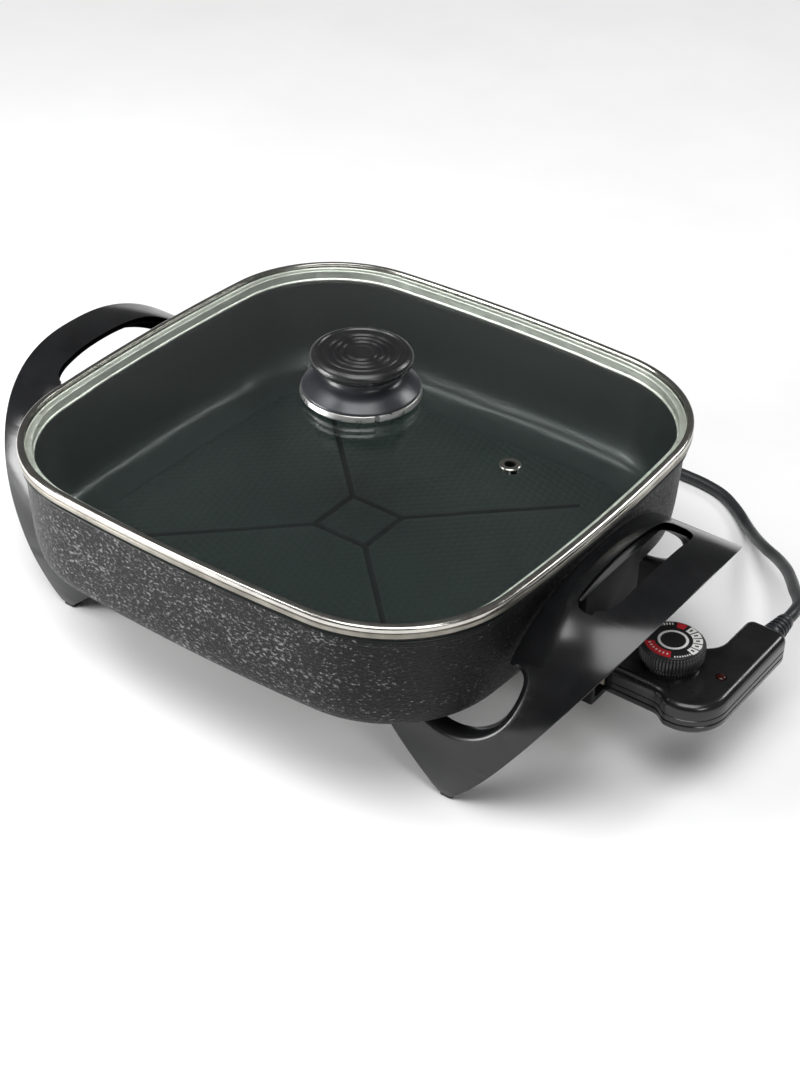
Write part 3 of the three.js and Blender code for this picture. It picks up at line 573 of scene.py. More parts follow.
def smooth_line(points, steps=6):
    """Catmull-Rom points through the given ones."""
    pts = [Vector(p) for p in points]
    pts = [pts[0] * 2 - pts[1], *pts, pts[-1] * 2 - pts[-2]]
    made = []
    for a, b, c, d in zip(pts, pts[1:], pts[2:], pts[3:]):
        for i in range(steps):
            t = i / steps
            made.append(0.5 * (2 * b + (c - a) * t + (2 * a - 5 * b + 4 * c - d) * t * t
                               + (3 * b - a - 3 * c + d) * t ** 3))
    made.append(pts[-2])
    return made


def tube(points, radius, sides=16):
    """A round tube along a line of points, with closed ends."""
    side = None
    rings = []
    for i, at in enumerate(points):
        ahead = (points[min(i + 1, len(points) - 1)] - points[max(i - 1, 0)]).normalized()
        side = side or ahead.orthogonal()
        side = (side - ahead * side.dot(ahead)).normalized()
        other = ahead.cross(side)
        rings.append([tuple(at + side * radius * math.cos(t) + other * radius * math.sin(t))
                      for t in turns(sides)])
    return skin(rings)


def build_cord():
    """The cord's piece and its path in the row frame."""
    line = smooth_line([*CORD_ROUTE, *coil_points(), *TAIL_ROUTE])
    made = settle(tube(line, CORD_R), "mains_cord", "controller", "rubber", CORD_BLACK,
                  ("power_cord", "cord_tail", "cord_coil"))
    return made, [row_point(*p) for p in line]


def build_tie():
    """Strap round the coil's turns on its +X side, with a small buckle."""
    play, thick = 0.4, 1
    middle = (COIL_OUTER + COIL_INNER) / 2
    half = (COIL_OUTER - COIL_INNER) / 2 + CORD_R + play
    height = 4 * CORD_R + play
    outside = rounded_rect(middle - half - thick, middle + half + thick, 0, height + thick, 4)
    inside = rounded_rect(middle - half, middle + half, thick, height, 3.2)
    strap = cut(prism(outside, -4, 4, "y"), prism(inside, -6, 6, "y"))
    buckle = rounded_rect(middle - 4, middle + 4, height + 0.2, height + 2.4, 0.9)
    strap = ease_edges(join(strap, prism(buckle, -5, 5, "y")), 0.3)
    return settle(placed(strap, (COIL_X, COIL_Y, 0)), "coil_strap", "controller", "rubber",
                  RUBBER, ("coil_tie",))


def build_plug():
    """Two-blade plug: ribbed sleeve, waisted grip and a raised rim at its face."""
    power = 3.2  # the grip's sections are superellipses of this power
    sleeve = [(4.2, 16), (4.6, 16.6), (5, 20), (4.3, 20.4), (4.4, 22), (5.4, 22.4), (5.7, 26),
              (4.8, 26.4), (4.9, 28), (6, 28.4), (6.3, 32), (5.4, 32.4), (5.6, 34)]
    grip = [(7.5, 6, 34.2), (10.6, 7.2, 36), (12.2, 7.8, 39), (12.6, 7.9, 44), (11.2, 7.4, 50),
            (11.4, 7.4, 55), (12.9, 8, 58.5), (13, 8, 61.6), (12.4, 7.4, 62.8)]
    rings = [[(x, y, z) for y, z in circle(r, PLUG_Y, PLUG_Z)] for r, x in sleeve]
    for half_y, half_z, x in grip:
        ring = []
        for t in turns(48):
            c, s = math.cos(t), math.sin(t)
            bulge = (abs(c) ** power + abs(s) ** power) ** (-1 / power)
            ring.append((x, PLUG_Y + half_y * c * bulge, PLUG_Z + half_z * s * bulge))
        rings.append(ring)
    return settle(skin(rings), "mains_plug", "controller", "rubber", CORD_BLACK, ("plug_body",), 40)


cord, cord_path = build_cord()
coil_strap = build_tie()
mains_plug = build_plug()

# ---- pan ----

FLOOR_HALF = 118  # the patterned panel of the cooking surface
FLOOR_CORNER = 46
GRID = 0.9  # spacing of the panel's points
HUB = 17  # half width of the plain square at the panel's middle
RAY_END = 88  # how far the four grooves reach along X and Y
GROOVE = 1.7  # half width of a groove


def build_pan():
    """The casting: pan, ridge for the heating tube, well for the probe and screw bosses."""
    root = PAN_BOTTOM + 1  # what hangs under the pan starts inside its floor
    outer = soften([
        (118, PAN_BOTTOM), (136, PAN_BOTTOM, 4), (144.5, PAN_BOTTOM + 4.5, 9),
        (147.6, PAN_BOTTOM + 16, 12), (149.3, 104, 6), (149.5, 111.6, 0.8),
        (PAN_HALF + 1, 113, 0.8), (PAN_HALF + 1, 115.8, 0.8), (149.8, 116.6, 0.6),
        (149.8, PAN_RIM, 0.8), (147, PAN_RIM, 0.8), (146.2, 110, 5), (143.8, PAN_FLOOR + 13, 14),
        (137.5, PAN_FLOOR + 1.2, 12), (124, PAN_FLOOR, 8), (112, PAN_FLOOR),
    ], 2, 6)
    pan = skin([pan_ring(half, z, 8, 20) for half, z in outer])
    ridge_low = ELEMENT_Z + 3.8
    ridge = skin([square_ring(half, corner, z) for half, corner, z in (
        (81, 17, ridge_low), (81, 17, root), (75, 11, root), (75, 11, ridge_low))], loop=True)
    well = block(60, 124, -6.2, 6.2, 42.5, root)
    bosses = [rod(7, sx * SCREW_X, sy * SCREW_Y, PAN_BOTTOM - 3, root)
              for sx in (-1, 1) for sy in (-1, 1)]
    bore = prism(circle(PROBE_BORE, 0, ELEMENT_Z, 32), 62, 126, "x")
    pan = cut(join(pan, ridge, well, *bosses), bore)

    def is_inside(at, normal):
        faces_middle = normal.x * at.x + normal.y * at.y < 0
        return at.z > PAN_FLOOR - 0.5 and (normal.z > 0.5 or faces_middle)
    paint(pan, is_inside, 1)
    return settle(pan, "pan_casting", "pan", "nonstick_aluminium", [HAMMERED, NONSTICK],
                  ("pan_body",))


def square_distance(x, y, half, corner):
    """Distance outside a rounded square; negative inside."""
    a, b = abs(x) - half + corner, abs(y) - half + corner
    return math.hypot(max(a, 0), max(b, 0)) + min(max(a, b), 0) - corner


def groove_depth(x, y):
    """Depth share of the plain grooves: a square in the middle, a ray out of each corner."""
    a, b = abs(x) - HUB, abs(y) - HUB
    on_ray = 0 < (a + b) / 2 < RAY_END - HUB
    nearest = min(abs(max(a, b)), abs(a - b) / math.sqrt(2) if on_ray else GROOVE)
    return max(1 - (nearest / GROOVE) ** 2, 0)


def floor_height(x, y):
    """Honeycomb of shallow dimples over the panel, plain along the grooves."""
    pitch, raised, dimple, groove_cut = 4.2, 0.45, 0.055, 0.42
    edge_width, sunk = 1.6, 0.6  # towards its edge the panel falls to below the pan's floor
    wave = 0.0
    for degrees in (15, 75, 135):
        t = math.radians(degrees)
        wave += math.cos(2 * math.pi * (x * math.cos(t) + y * math.sin(t)) / pitch)
    groove = groove_depth(x, y)
    fall = ramp(square_distance(x, y, FLOOR_HALF, FLOOR_CORNER), -edge_width, edge_width)
    level = raised + dimple * wave * (1 - groove) - groove_cut * groove
    return PAN_FLOOR + level * (1 - fall) - sunk * fall


def build_cooking_surface():
    """The patterned panel: a grid over the rounded square, closed underneath."""
    count = int(2 * FLOOR_HALF / GRID)
    step = 2 * FLOOR_HALF / count
    index, verts, faces = {}, [], []
    for i in range(count + 1):
        for j in range(count + 1):
            x, y = -FLOOR_HALF + i * step, -FLOOR_HALF + j * step
            if square_distance(x, y, FLOOR_HALF, FLOOR_CORNER) <= 0.5:
                index[i, j] = len(verts)
                verts.append((x, y, floor_height(x, y)))
    for i, j in index:
        corners = [(i, j), (i + 1, j), (i + 1, j + 1), (i, j + 1)]
        if all(c in index for c in corners):
            faces.append(tuple(index[c] for c in corners))
    panel = solid(verts, faces)

    def close(bm):
        loose = [v for v in bm.verts if not v.link_faces]
        bmesh.ops.delete(bm, geom=loose, context="VERTS")
        rim = [e for e in bm.edges if e.is_boundary]
        made = bmesh.ops.extrude_edge_only(bm, edges=rim)["geom"]
        for v in made:
            if isinstance(v, bmesh.types.BMVert):
                v.co.z = PAN_FLOOR - 1.2
        bmesh.ops.contextual_create(bm, geom=[e for e in bm.edges if e.is_boundary])
        bmesh.ops.recalc_face_normals(bm, faces=bm.faces)
    panel = edit(panel, close)
    dull_from = 0.25  # share of a groove's depth
    # Faces deep in a groove are drawn darker and duller.
    paint(panel, lambda at, normal: groove_depth(at.x, at.y) > dull_from, 1)
    return settle(panel, "cooking_surface", "pan", "nonstick_aluminium", [NONSTICK, GROOVE_DARK])


# ---- handles, guard and what is under the pan ----


def tuck(z):
    """How far a leg draws in at a height."""
    return FOOT_TUCK * max(1 - z / 30, 0) ** 1.5


def arch_reach(z):
    """How far out in Y the arch's surface is at a height."""
    share = max(1 - (max(z, 0) / ARCH_TOP) ** ARCH_POWER, 0)
    return ARCH_HALF * share ** (1 / ARCH_POWER) - tuck(z)


def arch_line(half, top):
    """A superellipse from foot to foot, seen along X."""
    count = 100
    made = [(half - FOOT_TUCK, PAD)]
    for i in range(1, count):
        t = math.pi * i / count
        c, z = math.cos(t), top * math.sin(t) ** (2 / ARCH_POWER)
        if z > PAD + 1:
            made.append((math.copysign(half * abs(c) ** (2 / ARCH_POWER) - tuck(z), c), z))
    return [*made, (FOOT_TUCK - half, PAD)]


def arch_outline(legs, deck, grow=0.0):
    """The handle's arch: a band between an outer and an inner line."""
    inner = arch_line(ARCH_HALF - legs, ARCH_TOP - deck)
    return arch_line(ARCH_HALF + grow, ARCH_TOP + grow) + inner[::-1]


def bend_through(stops, steps=10):
    """Quadratic curves through every second stop; the stops between them pull."""
    made = [tuple(stops[0])]
    for a, b, c in zip(stops[0::2], stops[1::2], stops[2::2]):
        for i in range(1, steps + 1):
            t = i / steps
            made.append(tuple(p * (1 - t) ** 2 + q * 2 * t * (1 - t) + r * t * t
                              for p, q, r in zip(a, b, c)))
    return made


def side_outline(moved=0.0):
    """The handle seen along Y, leaning out from its foot to the grip."""
    top = ARCH_TOP + 1
    outer = bend_through([(134 - moved, PAD), (156.6 - moved, 21.7), (HANDLE_OUT - moved, top)], 26)
    return [(126, PAD), *outer, (70, top), (70, PAN_BOTTOM - 1)]


def slot_outline(grow=0.0):
    """The grip's slot in plan: straight towards the pan, bowed towards the outside."""
    x0, x1, low, high = SLOT_IN, SLOT_OUT, SLOT_Y - SLOT_HALF, SLOT_Y + SLOT_HALF
    small, big = 6, 14  # reach of the corners towards the pan and of the outer ones
    made = bend_through([
        (x0, low + small), (x0, low), (x0 + small, low), (x1 - 2, low), (x1 - 1, low + big),
        (x1 + 1, SLOT_Y), (x1 - 1, high - big), (x1 - 2, high), (x0 + small, high), (x0, high),
        (x0, high - small)])
    return inset(made, -grow) if grow else made


def notch_outline(grow):
    """The gap between a leg and the pan, seen along Y: a round bottom and a flatter top."""
    x, z, r, top = NOTCH_X, NOTCH_Z, NOTCH_R + grow, NOTCH_TOP + grow
    corner = bend_through([(x + r, z), (x + r, top), (x + r - 8, top)])
    return [*arc(x, z, r, 180, 360, 40), *corner[1:], (x - r, top)]


def notch_cutter(sign):
    """Cuts the notch through a leg and rounds its edge on the leg's outer face."""
    flare = 4.5
    steps = [(34, 0), *arc(flare, flare, flare, -90, -180, 6), (-12, flare)]
    return skin([[(x, sign * (arch_reach(z) - depth), z) for x, z in notch_outline(grow)]
                 for depth, grow in steps])


def build_handle(side, degrees):
    """An arch on two legs with a lip, grip slot, notches and screw pads."""
    outline = prism(side_outline(), -110, 110, "y")
    body = common(prism(arch_outline(9, DECK_THICK), 70, 214, "x"), outline)
    lip = cut(prism(side_outline(), -109, 109, "y"), prism(side_outline(3.2), -120, 120, "y"))
    lip = common(lip, prism(arch_outline(12, 12), 70, 213, "x"), block(0, 300, -120, 120, 30, 130))
    under_arch = cut(prism(arch_outline(60, 60), 70, 212, "x"), block(0, 300, -200, 200, -10, 60))
    near, far = SLOT_IN + 3, SLOT_OUT - 5
    reach = [(150, -70), (near, -70), (far, 2 - SLOT_HALF), (far, SLOT_HALF), (near, 70), (150, 70)]
    flange = common(prism(slot_outline(2.8), FLANGE_LOW, 112, "z"), under_arch,
                    prism(reach, 90, 120, "z"))
    bead = common(prism(slot_outline(2.6), 90, 125, "z"),
                  prism(arch_outline(20, 20, 0.9), 70, 212, "x"),
                  block(150, SLOT_IN + 9, -60, 60, 90, 120))
    pad_low, pad_top = PAN_BOTTOM - 9, PAN_BOTTOM - 3.3
    pads = [block(70, 98, y, y + 10.5, pad_low, pad_top) for y in (-94, 83.5)]
    body = join(body, lip, flange, bead, *pads)
    room = skin([pan_ring(PAN_HALF + 1.2, z) for z in (PAN_BOTTOM - 0.3, 130)])
    body = cut(body, prism(slot_outline(), 80, 130, "z"), room)
    for sign in (-1, 1):
        holes = [rod(radius, SCREW_X, sign * SCREW_Y, z0, z1, sides) for radius, z0, z1, sides in (
            (2.5, 40, 56, 24), (4.8, 30, pad_low, 32), (7.4, pad_top, 60, 32))]
        body = cut(body, *holes, notch_cutter(sign))
    body = placed(ease_edges(body, 0.8), degrees=degrees)
    return settle(body, f"grip_{side}", "pan", "bakelite", BAKELITE, (f"handle_{side}",))


def build_foot_pad(node):
    low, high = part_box(node)
    x0, x1 = ((v - PAN_X) / MM for v in (low.x, high.x))
    top, below, above = high.z / MM, 0.5, 0.2  # radii of its lower and upper edges
    pad = stack(rounded_rect(x0, x1, low.y / MM, high.y / MM, 1.6), [
        *arc(below, below, below, -90, -180, 4), *arc(above, top - above, above, 180, 90, 4)])
    return settle(pad, f"{node}_moulded", "pan", "rubber", RUBBER, (node,))


def cross_head_screw(name, x, y, head_z, radius, node, body):
    """A pan-head screw with a cross recess; its head looks down at the table."""
    profile = [(0, -1.5), (radius * 0.55, -1.35), (radius * 0.85, -0.9), (radius, -0.2),
               (radius, 0), (radius * 0.45, 0.2), (radius * 0.45, 3), (0, 3)]
    wide, long = radius * 0.2, radius * 0.62
    head = cut(turned(profile, 40), block(-wide, wide, -long, long, -3, -0.5),
               block(-long, long, -wide, wide, -3, -0.5))
    settle(placed(head, (x, y, head_z)), name, body, "steel", PLATED, (node,))


def build_element():
    """The heating tube: one rounded square loop whose ends run out to the terminals."""
    h, corner, pin, out = 78, 14, 12, 122
    stops = [Vector((x, y, ELEMENT_Z)) for x, y in (
        (out, -pin), (h, -pin), (h, -h), (-h, -h), (-h, h), (h, h), (h, pin), (out, pin))]
    line = [stops[0]]
    for a, b, c in zip(stops, stops[1:], stops[2:]):
        start, end = (b + (p - b).normalized() * corner for p in (a, c))
        line += bend(start, b, end, 10)
    line.append(stops[-1])
    return settle(tube(line, 3.5, 24), "heating_tube", "pan", "heater_sheath", SHEATH,
                  ("heating_element",))


def build_guard():
    """Frame that keeps hands off the terminals, hung from the grip by a web."""
    x0, x1, half, low, high = 154, 171.4, 31, 36, 64
    wall, lintel = 4, 3.4
    frame_box = prism(rounded_rect(-half, half, low, high, 2.5), x0, x1, "x")
    mouth = rounded_rect(wall - half, half - wall, low + lintel, high - lintel, 1.5)
    web = block(SLOT_IN - 7, SLOT_IN - 3.3, 1 - half, 22, high - 2, top_of("terminal_guard"))
    guard = cut(join(frame_box, web), prism(mouth, x0 - 1, x1 + 1, "x"))
    return settle(ease_edges(guard, 0.6), "terminal_shroud", "pan", "bakelite", DULL_BLACK_AND_SHADE,
                  ("terminal_guard",))


# ---- lid ----


def dome_z(scale):
    return LID_Z + 1.6 + DOME_RISE * (1 - scale * scale)


def build_glass():
    """A domed pane with holes for the knob's bolt and the vent."""
    scales = [1, 0.985, 0.97, 0.95, 0.92, 0.88, 0.83, 0.77, 0.7, 0.62, 0.53, 0.43, 0.32, 0.2, 0.1]
    bulge, hole, vent_hole = 1.0015, 4.2, 4.6

    def ring_at(scale, lift):
        return square_ring(GLASS_HALF * scale, PAN_CORNER * scale, dome_z(scale) + lift, 8, 20)
    upper = [ring_at(scale, GLASS_THICK) for scale in scales]
    lower = [ring_at(scale, 0) for scale in reversed(scales)]
    edge = [[(x * bulge, y * bulge, z) for x, y, z in ring_at(1, GLASS_THICK * share)]
            for share in (0.2, 0.8)]
    angles = [math.atan2(p[1], p[0]) for p in ring_at(1, 0)]
    middle = [[(hole * math.cos(t), hole * math.sin(t), dome_z(0.03) + lift) for t in angles]
              for lift in (GLASS_THICK, 0)]
    glass = skin([*upper, *middle, *lower, *edge], loop=True)
    glass = cut(glass, rod(vent_hole, VENT_X, 0, 100, 170, 40))
    return settle(glass, "lid_dome", "lid", "tempered_glass", GLASS, ("lid_glass",), 50)


def build_band():
    """Rolled steel band: bright outer face, bead on top, lip inside and skirt below."""
    top, glass = BAND_HEIGHT, GLASS_HALF + 0.3 - LID_HALF
    profile = close_profile(shifted([
        (0, 0.2, 0.6), (-0.2, 2.6, 0.2), (-0.9, 2.9, 0.2), (-0.9, 3.3, 0.2), (0, 3.6, 0.4),
        (0, top - 0.4, 1.2), (-2.2, top + 0.4, 1.2), (-3.8, top + 0.3, 0.3), (-4.2, top - 0.6, 0.2),
        (glass, top - 0.9, 0.2), (glass, 1.2, 0.2), (-4.6, 1.2, 0.3), (-4.9, 0.8, 0.2),
        (-5.3, 1.2, 0.3), (-8.4, 1.2, 0.6), (-8.4, -3.6, 0.2), (-9.1, -4, 0.5),
        (-9.1, -5.1, 0.5), (-7.2, -5.1, 0.4), (-7.2, 0, 0.4), (-1, 0, 0.5),
    ], LID_HALF, LID_Z), 0.5, 5)
    band = skin([pan_ring(half, z, 8, 22) for half, z in profile], loop=True)
    per_ring = len(band.data.polygons) // len(profile)
    for face in band.data.polygons:
        half, z = profile[face.index // per_ring]
        # The band's inner faces get the pale steel as painted light.
        inside, groove = half < LID_HALF - 4.3, half > LID_HALF - 1.2 and z < LID_Z + 3.4
        # The groove low on the outer face and the band's underside get the darker steel as painted
        # shade.
        face.material_index = 1 if inside else 2 if groove else 0
    return settle(band, "lid_band", "lid", "steel", [STEEL, PALE_LIT_SATIN, GROOVE_SHADE_STEEL],
                  ("lid_rim_band",), 50)


def build_vent():
    """A rolled eyelet through the glass. Its bore is painted dull black as painted shade."""
    z = dome_z(VENT_X / GLASS_HALF)
    top = GLASS_THICK
    vent = turned_ring([
        (2.5, -1.2), (4.4, -1.2), (4.4, top + 0.1), (5.5, top + 0.15), (5.9, top + 0.6),
        (5.2, top + 1.1), (3.2, top + 1.1), (2.5, top + 0.6)], z, 0.5, 64)
    # Painted shade: the faces of the vent's bore are drawn dull black.
    paint(vent, lambda at, normal: math.hypot(at.x, at.y) < 3, 1)
    return settle(placed(vent, (VENT_X, 0, 0)), "steam_vent", "lid", "steel",
                  [STEEL, DULL_BLACK_AND_SHADE], ("vent_grommet",), 60)


def build_knob():
    """Grooved cap, skirt, steel ring, gasket, plate and bolt."""
    cap = shifted([(0, 0.6), (4, 0), (20, 0, 2), (23, 0.4, 2), (26.6, 2.6, 2.5), (27.7, 5, 1.6)],
                  0, APEX + 16.3)
    face = [(27, -1.6, 1.2), (24.6, -0.1, 0.8), (23.6, 0, 0.3), (22.6, -0.8, 0.3),
            (20.5, -0.9, 0.4), (19.6, -0.3, 0.4)]
    for groove in (16.2, 12.6, 9):
        face += [(groove + 1.5, -0.3, 0.3), (groove + 0.9, -1.1, 0.3),
                 (groove - 0.2, -1.1, 0.3), (groove - 0.8, -0.3, 0.3)]
    face += [(6.4, -0.4, 0.4), (5.4, -0.9, 0.5), (0, -1)]
    grip = turned(soften(cap + shifted(face, 0, KNOB_TOP), 0.6, 4), 128)
    settle(grip, "knob_grip", "lid", "bakelite", KNOB_BLACK, ("knob_cap",), 40)
    skirt = [(0, 1.7), (27.2, 1.7), (27.2, 4.3), (31.6, 4.3, 0.6), (31.4, 5.4, 0.6),
             (25.5, 9.6, 5), (20.6, 11.6, 3), (19.6, 15.6, 1), (0, 16)]
    settle(turned(soften(shifted(skirt, 0, APEX), 0.2, 5), 128), "knob_skirt", "lid", "bakelite",
           SKIRT_SHEEN_BLACK, ("knob_base",), 40)
    ring = [(27.5, 0.6), (32.1, 0.6), (32.6, 1.2), (32, 4), (31.4, 4.2), (27.5, 4.2)]
    notch = placed(rod(1.5, 32.5, 0, APEX - 1, APEX + 6, 24), degrees=-38)
    settle(cut(turned_ring(ring, APEX, 0.4, 128), notch), "knob_ring", "lid", "steel", PLATED,
           ("knob_base_ring",), 50)
    seal = [(4.4, 0.2), (20, -0.1), (20, 1.4), (4.4, 1.4)]
    settle(turned_ring(seal, APEX, 0.3), "knob_gasket", "lid", "rubber", RUBBER, ("knob_seal",))
    washer = [(3.4, -5.7), (11, -5.7), (11, -4.4), (3.4, -4.4)]
    settle(turned_ring(washer, APEX, 0.3), "knob_plate", "lid", "steel", PLATED, ("knob_washer",))
    bolt = shifted([(0, -8.6), (3.6, -8.4), (6, -7.4), (6.4, -6), (3, -6)], 0, APEX)
    bolt = turned(soften([*bolt, (3, KNOB_TOP - 3), (0, KNOB_TOP - 3)], 0.4), 64)
    bolt = cut(bolt, block(-1, 1, -3.6, 3.6, APEX - 10, APEX - 7.4),
               block(-3.6, 3.6, -1, 1, APEX - 10, APEX - 7.4))
    settle(bolt, "knob_bolt", "lid", "steel", PLATED, ("knob_screw",))


# ---- controller ----

CASE_LOW, CASE_SPLIT, CASE_TOP = 41, 45.5, 58
ARM_START, ARM_HALF = 172, 22
ELBOW_IN, ELBOW_OUT, ELBOW_NEAR, ELBOW_FAR = 211, 235, -27, 60
LAMP_X, LAMP_Y = 224, 6
CASE_SCREWS = [(190, -16), (227, -17), (219, 50)]


def case_plan():
    """Plan of the housing: an arm that swells into an elbow turned along +Y."""
    return [
        *arc(ARM_START + 3, 3 - ARM_HALF, 3, 180, 270, 4), *soften([
            (195, -ARM_HALF), (204.5, -ARM_HALF, 4), (210, ELBOW_NEAR, 4), (213, ELBOW_NEAR)], 3),
        *arc(ELBOW_OUT - 21, ELBOW_NEAR + 21, 21, -86, 0, 18),
        *arc(ELBOW_OUT - 6, ELBOW_FAR - 6, 6, 0, 90, 8),
        *arc(ELBOW_IN + 5, ELBOW_FAR - 5, 5, 90, 180, 6),
        *soften([(ELBOW_IN, 44), (ELBOW_IN, ARM_HALF + 8, 10), (ELBOW_IN - 8, ARM_HALF, 7),
                 (196, ARM_HALF)], 8, 8),
        *arc(ARM_START + 3, ARM_HALF - 3, 3, 90, 180, 4),
    ]


def build_case():
    """Two shells with a seam between them, a line round the upper one, and screws below."""
    plan, seam, low, top = case_plan(), CASE_SPLIT, CASE_LOW, CASE_TOP
    line = 0.35  # depth of the seam and of the line
    upper = stack(plan, [
        (line, seam + 0.3), (0, seam + 0.65), (0, 48.9), (line, 49.2), (line, 49.6), (0, 49.9),
        *arc(4.2, top - 4.2, 4.2, 180, 90, 8)])
    upper = cut(upper, rod(15.2, DIAL_X, 0, top - 1.2, top + 1, 96),
                rod(2.9, LAMP_X, LAMP_Y, top - 3.4, top + 2), rod(3.6, DIAL_X, 0, top - 3, top + 3))
    settle(upper, "housing_top", "controller", "controller_plastic", CASE_BLACK,
           ("controller_case_top",), 40)
    lower = stack(plan, [(2.2, low), (1, low + 0.35), (0.3, low + 1.1), (0, low + 2.2),
                         (0, seam - 0.4), (line, seam)])
    for x, y in CASE_SCREWS:
        lower = cut(lower, rod(3, x, y, low - 1, low + 2, 32))
    settle(lower, "housing_bottom", "controller", "controller_plastic", CASE_BLACK,
           ("controller_case_bottom",), 40)
    for i, (x, y) in enumerate(CASE_SCREWS, 1):
        cross_head_screw(f"housing_screw_{i}", x, y, low + 1.7, 2.3, f"controller_screw_{i}",
                         "controller")


def build_lens():
    profile = shifted([(0, -3), (2.6, -3), (2.6, 0, 0.4), (2.2, 0.7, 0.5), (0, 1.3)], 0, CASE_TOP)
    lens = placed(turned(soften(profile, 0.5), 48), (LAMP_X, LAMP_Y, 0))
    settle(lens, "pilot_lens", "controller", "lamp_lens", LENS_RED, ("indicator_lens",), 50)


def build_probe():
    """A tube with a round tip, drawn upwards and laid along X."""
    profile = [*arc(0, 70, PROBE_R, -90, 0, 9), (PROBE_R, 176), (0, 176)]
    probe = placed(turned(profile, 40), (0, 0, ELEMENT_Z), 90, "Y")
    settle(probe, "probe_tube", "controller", "steel", STEEL, ("thermostat_probe",), 40)


def build_strain_relief():
    """Tapered rubber sleeve with ribs, out of the elbow's end."""
    start, end = ELBOW_FAR + 0.3, 79
    profile = [(0, start), (6.4, start, 0.3), (6.4, start + 2.4, 0.3)]
    for i in range(4):
        y = start + 3.0 + 3.4 * i
        r = 6.1 - 0.42 * i
        profile += [(r - 1, y, 0.3), (r - 1, y + 1, 0.3), (r, y + 1.2, 0.4),
                    (r - 0.15, y + 2.8, 0.4)]
    profile += [(4.2, end - 0.6, 0.4), (3.7, end, 0.2), (0, end)]
    sleeve = placed(turned(soften(profile, 0.3, 3), 64), (GLAND[0], 0, GLAND[1]), -90, "X")
    settle(sleeve, "cord_sleeve", "controller", "rubber", CORD_BLACK, ("strain_relief",), 40)


# ---- dial ----

RIBS = 60  # of a knurled rim
MARKS = [
    # name, count, first angle from the camera's azimuth, step, inner and outer radius,
    # a mark's start and end round its angle, height, material, steps of its arcs
    ("dial_step", 5, 38, -20.5, 10, 14.9, -8.4, 8.4, 0.1, WHITE_PRINT, 6),
    ("dial_step_mark", 5, 38, -20.5, 11.4, 13.4, -2.2, 2.6, 0.16, DIAL_BLACK, 2),
    ("dial_warm", 1, 55, 0, 10.4, 14.6, 0, 21, 0.1, RED_PRINT, 8),
    ("dial_hot", 1, 184, 0, 9.6, 14.8, 0, 75, 0.1, RED_PRINT, 24),
    ("dial_hot_mark", 7, 191, 10, 11.6, 12.8, -1.7, 1.7, 0.16, WHITE_PRINT, 2),
    ("dial_off_mark", 5, 86, 6.5, 12.4, 14, -1.5, 1.5, 0.12, WHITE_PRINT, 2),
    ("dial_low_mark", 8, 268, 5.6, 13.2, 14.4, -1.4, 1.4, 0.12, WHITE_PRINT, 2),
]


def settle_dial(thing, name, made, *rest):
    """Moves a piece drawn about the dial's axis into place and settles it."""
    settle(placed(thing, (DIAL_X, 0, 0)), name, "dial", "controller_plastic", made, *rest)


def knurled(profile, depth):
    """A turned piece with narrow grooves between flat ribs."""
    return turned(profile, RIBS * 8, lambda t: -depth * max(0.0, math.cos(RIBS * t)) ** 2)


def build_dial():
    z = DIAL_TOP
    collar = knurled([(0, 57.2), (13.4, 57.2), (13.8, 57.8), (14.3, 60.4), (14.3, 61.9),
                      (13.9, 62.5), (0, 62.5)], 0.45)
    settle_dial(collar, "dial_collar", DIAL_BLACK, ("dial_skirt",), 40)
    rim = knurled(shifted([(0, -10.1), (15.2, -10.1), (16.3, -9.4), (16.9, -8.2), (17, -2.2),
                           (16.7, -1.4), (16, -0.9), (0, -0.9)], 0, z), 0.6)
    settle_dial(rim, "dial_rim", DIAL_BLACK, ("dial_knob",), 40)
    face = [(0, -0.7), (15.6, -0.7), (15.6, -0.3, 0.2), (15.2, 0, 0.3), (0, 0)]
    settle_dial(turned(soften(shifted(face, 0, z), 0.2), 128), "dial_plate", DIAL_BLACK,
                ("dial_face",), 40)
    ring = cut(prism(arc(0, 0, 7.9, 0, 355, 71), z - 0.1, z + 0.12, "z"),
               rod(6.5, 0, 0, z - 1, z + 1, 72))
    settle_dial(ring, "dial_ring", WHITE_PRINT)
    for name, count, first, step, inner, outer, low, high, height, made, steps in MARKS:
        for i in range(count):
            at = AZIMUTH + first + step * i
            outline = (arc(0, 0, outer, at + low, at + high, steps)
                       + arc(0, 0, inner, at + high, at + low, steps))
            settle_dial(prism(outline, z - 0.1, z + height, "z"),
                        f"{name}_{i + 1}" if count > 1 else name, made)


# ---- the pieces that stay as the CAD has them ----

KEPT = {
    STEEL: ["terminal_pin_near", "terminal_pin_far"],
    PLATED: ["element_clip_near", "element_clip_far", "element_clip_left", "thermostat_frame"],
    CERAMIC: ["ceramic_sleeve_near", "ceramic_sleeve_far", "socket_block", "contact_carrier",
              "terminal_block"],
    BRASS: ["contact_socket_near", "contact_socket_far", "bimetal_blade", "dial_spindle",
            "plug_blade_near", "plug_blade_far"],
    GLASS: ["indicator_lamp"],
}


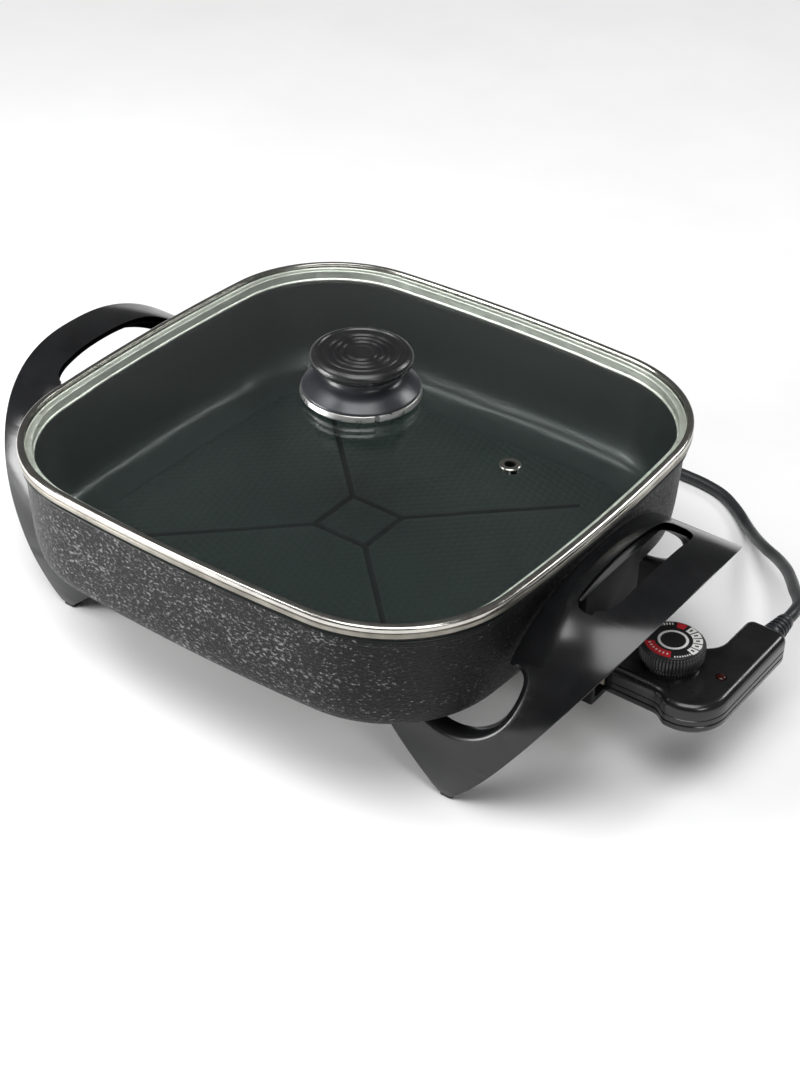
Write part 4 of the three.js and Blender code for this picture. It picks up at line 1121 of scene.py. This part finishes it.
build_pan()
build_cooking_surface()
for side, screw_x, degrees in (("right", SCREW_X, 0), ("left", -SCREW_X, 180)):
    build_handle(side, degrees)
    for end, screw_y in (("near", -SCREW_Y), ("far", SCREW_Y)):
        build_foot_pad(f"foot_pad_{side}_{end}")
        cross_head_screw(f"grip_screw_{side}_{end}", screw_x, screw_y, HEAD_Z, HEAD_R,
                         f"handle_screw_{side}_{end}", "pan")
build_guard()
build_element()
build_glass()
build_band()
build_vent()
build_knob()
build_case()
build_lens()
build_probe()
build_strain_relief()
build_dial()
for made, names in KEPT.items():
    for name in names:
        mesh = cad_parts[name].data
        mesh.materials.clear()
        mesh.materials.append(made)

# ---- floor and lights ----


def build_stage():
    """A pale flat floor that reaches three metres out on every side."""
    sides = 64
    verts = [(x, y, 0) for r in (0.001, 1.5, 3.0) for x, y in circle(r, 0, 0, sides)]
    faces = []
    for k in (0, sides):
        for i in range(sides):
            j = (i + 1) % sides
            faces.append((k + i, k + j, k + sides + j, k + sides + i))
    floor = solid(verts, faces)
    made = new_material("floor_paper", Roughness=0.9, Specular_IOR_Level=0.1)
    feed(made, "Base Color", blend_colors(made, noise(made, 8), (0.9,) * 3, (0.93,) * 3))
    floor.data.materials.append(made)
    floor.name = "studio_floor"
    floor.location.z = -0.0002  # just below the feet


LIGHTS = [  # name, place and target in metres, width and height, watts
    ("top", (0.35, -0.6, 2.3), (0, 0, 0.05), (1.6, 1.6), 46),
    ("left", (-1.15, -0.55, 1.9), (0, 0, 0.08), (0.6, 0.6), 9),
    ("back", (0.75, 1.75, 1.5), (0, 0, 0.08), (0.6, 0.6), 12),
    ("front_left", (-1.4, -1.9, 0.6), (-0.1, 0, 0.1), (0.8, 1.0), 4.5),
    ("left_card", (-0.62, -0.60, 0.25), (-0.19, -0.09, 0.07), (0.42, 0.42), 8),
    ("right", (2.0, -0.9, 1.5), (0, 0, 0.08), (0.7, 0.5), 10),
]


def light_scene():
    world = bpy.data.worlds.new("studio")
    world.use_nodes = True
    background = world.node_tree.nodes["Background"]
    background.inputs["Color"].default_value = (1, 1, 1, 1)
    background.inputs["Strength"].default_value = 0.1
    bpy.context.scene.world = world
    for name, place, target, size, watts in LIGHTS:
        data = bpy.data.lights.new(name, "AREA")
        data.shape = "RECTANGLE"
        data.size, data.size_y = size
        data.energy = watts
        light = bpy.data.objects.new(name, data)
        light.location = place
        aim = Vector(target) - Vector(place)
        light.rotation_euler = aim.to_track_quat("-Z", "Y").to_euler()
        bpy.context.scene.collection.objects.link(light)


build_stage()
light_scene()
bpy.context.scene.view_settings.view_transform = "Standard"
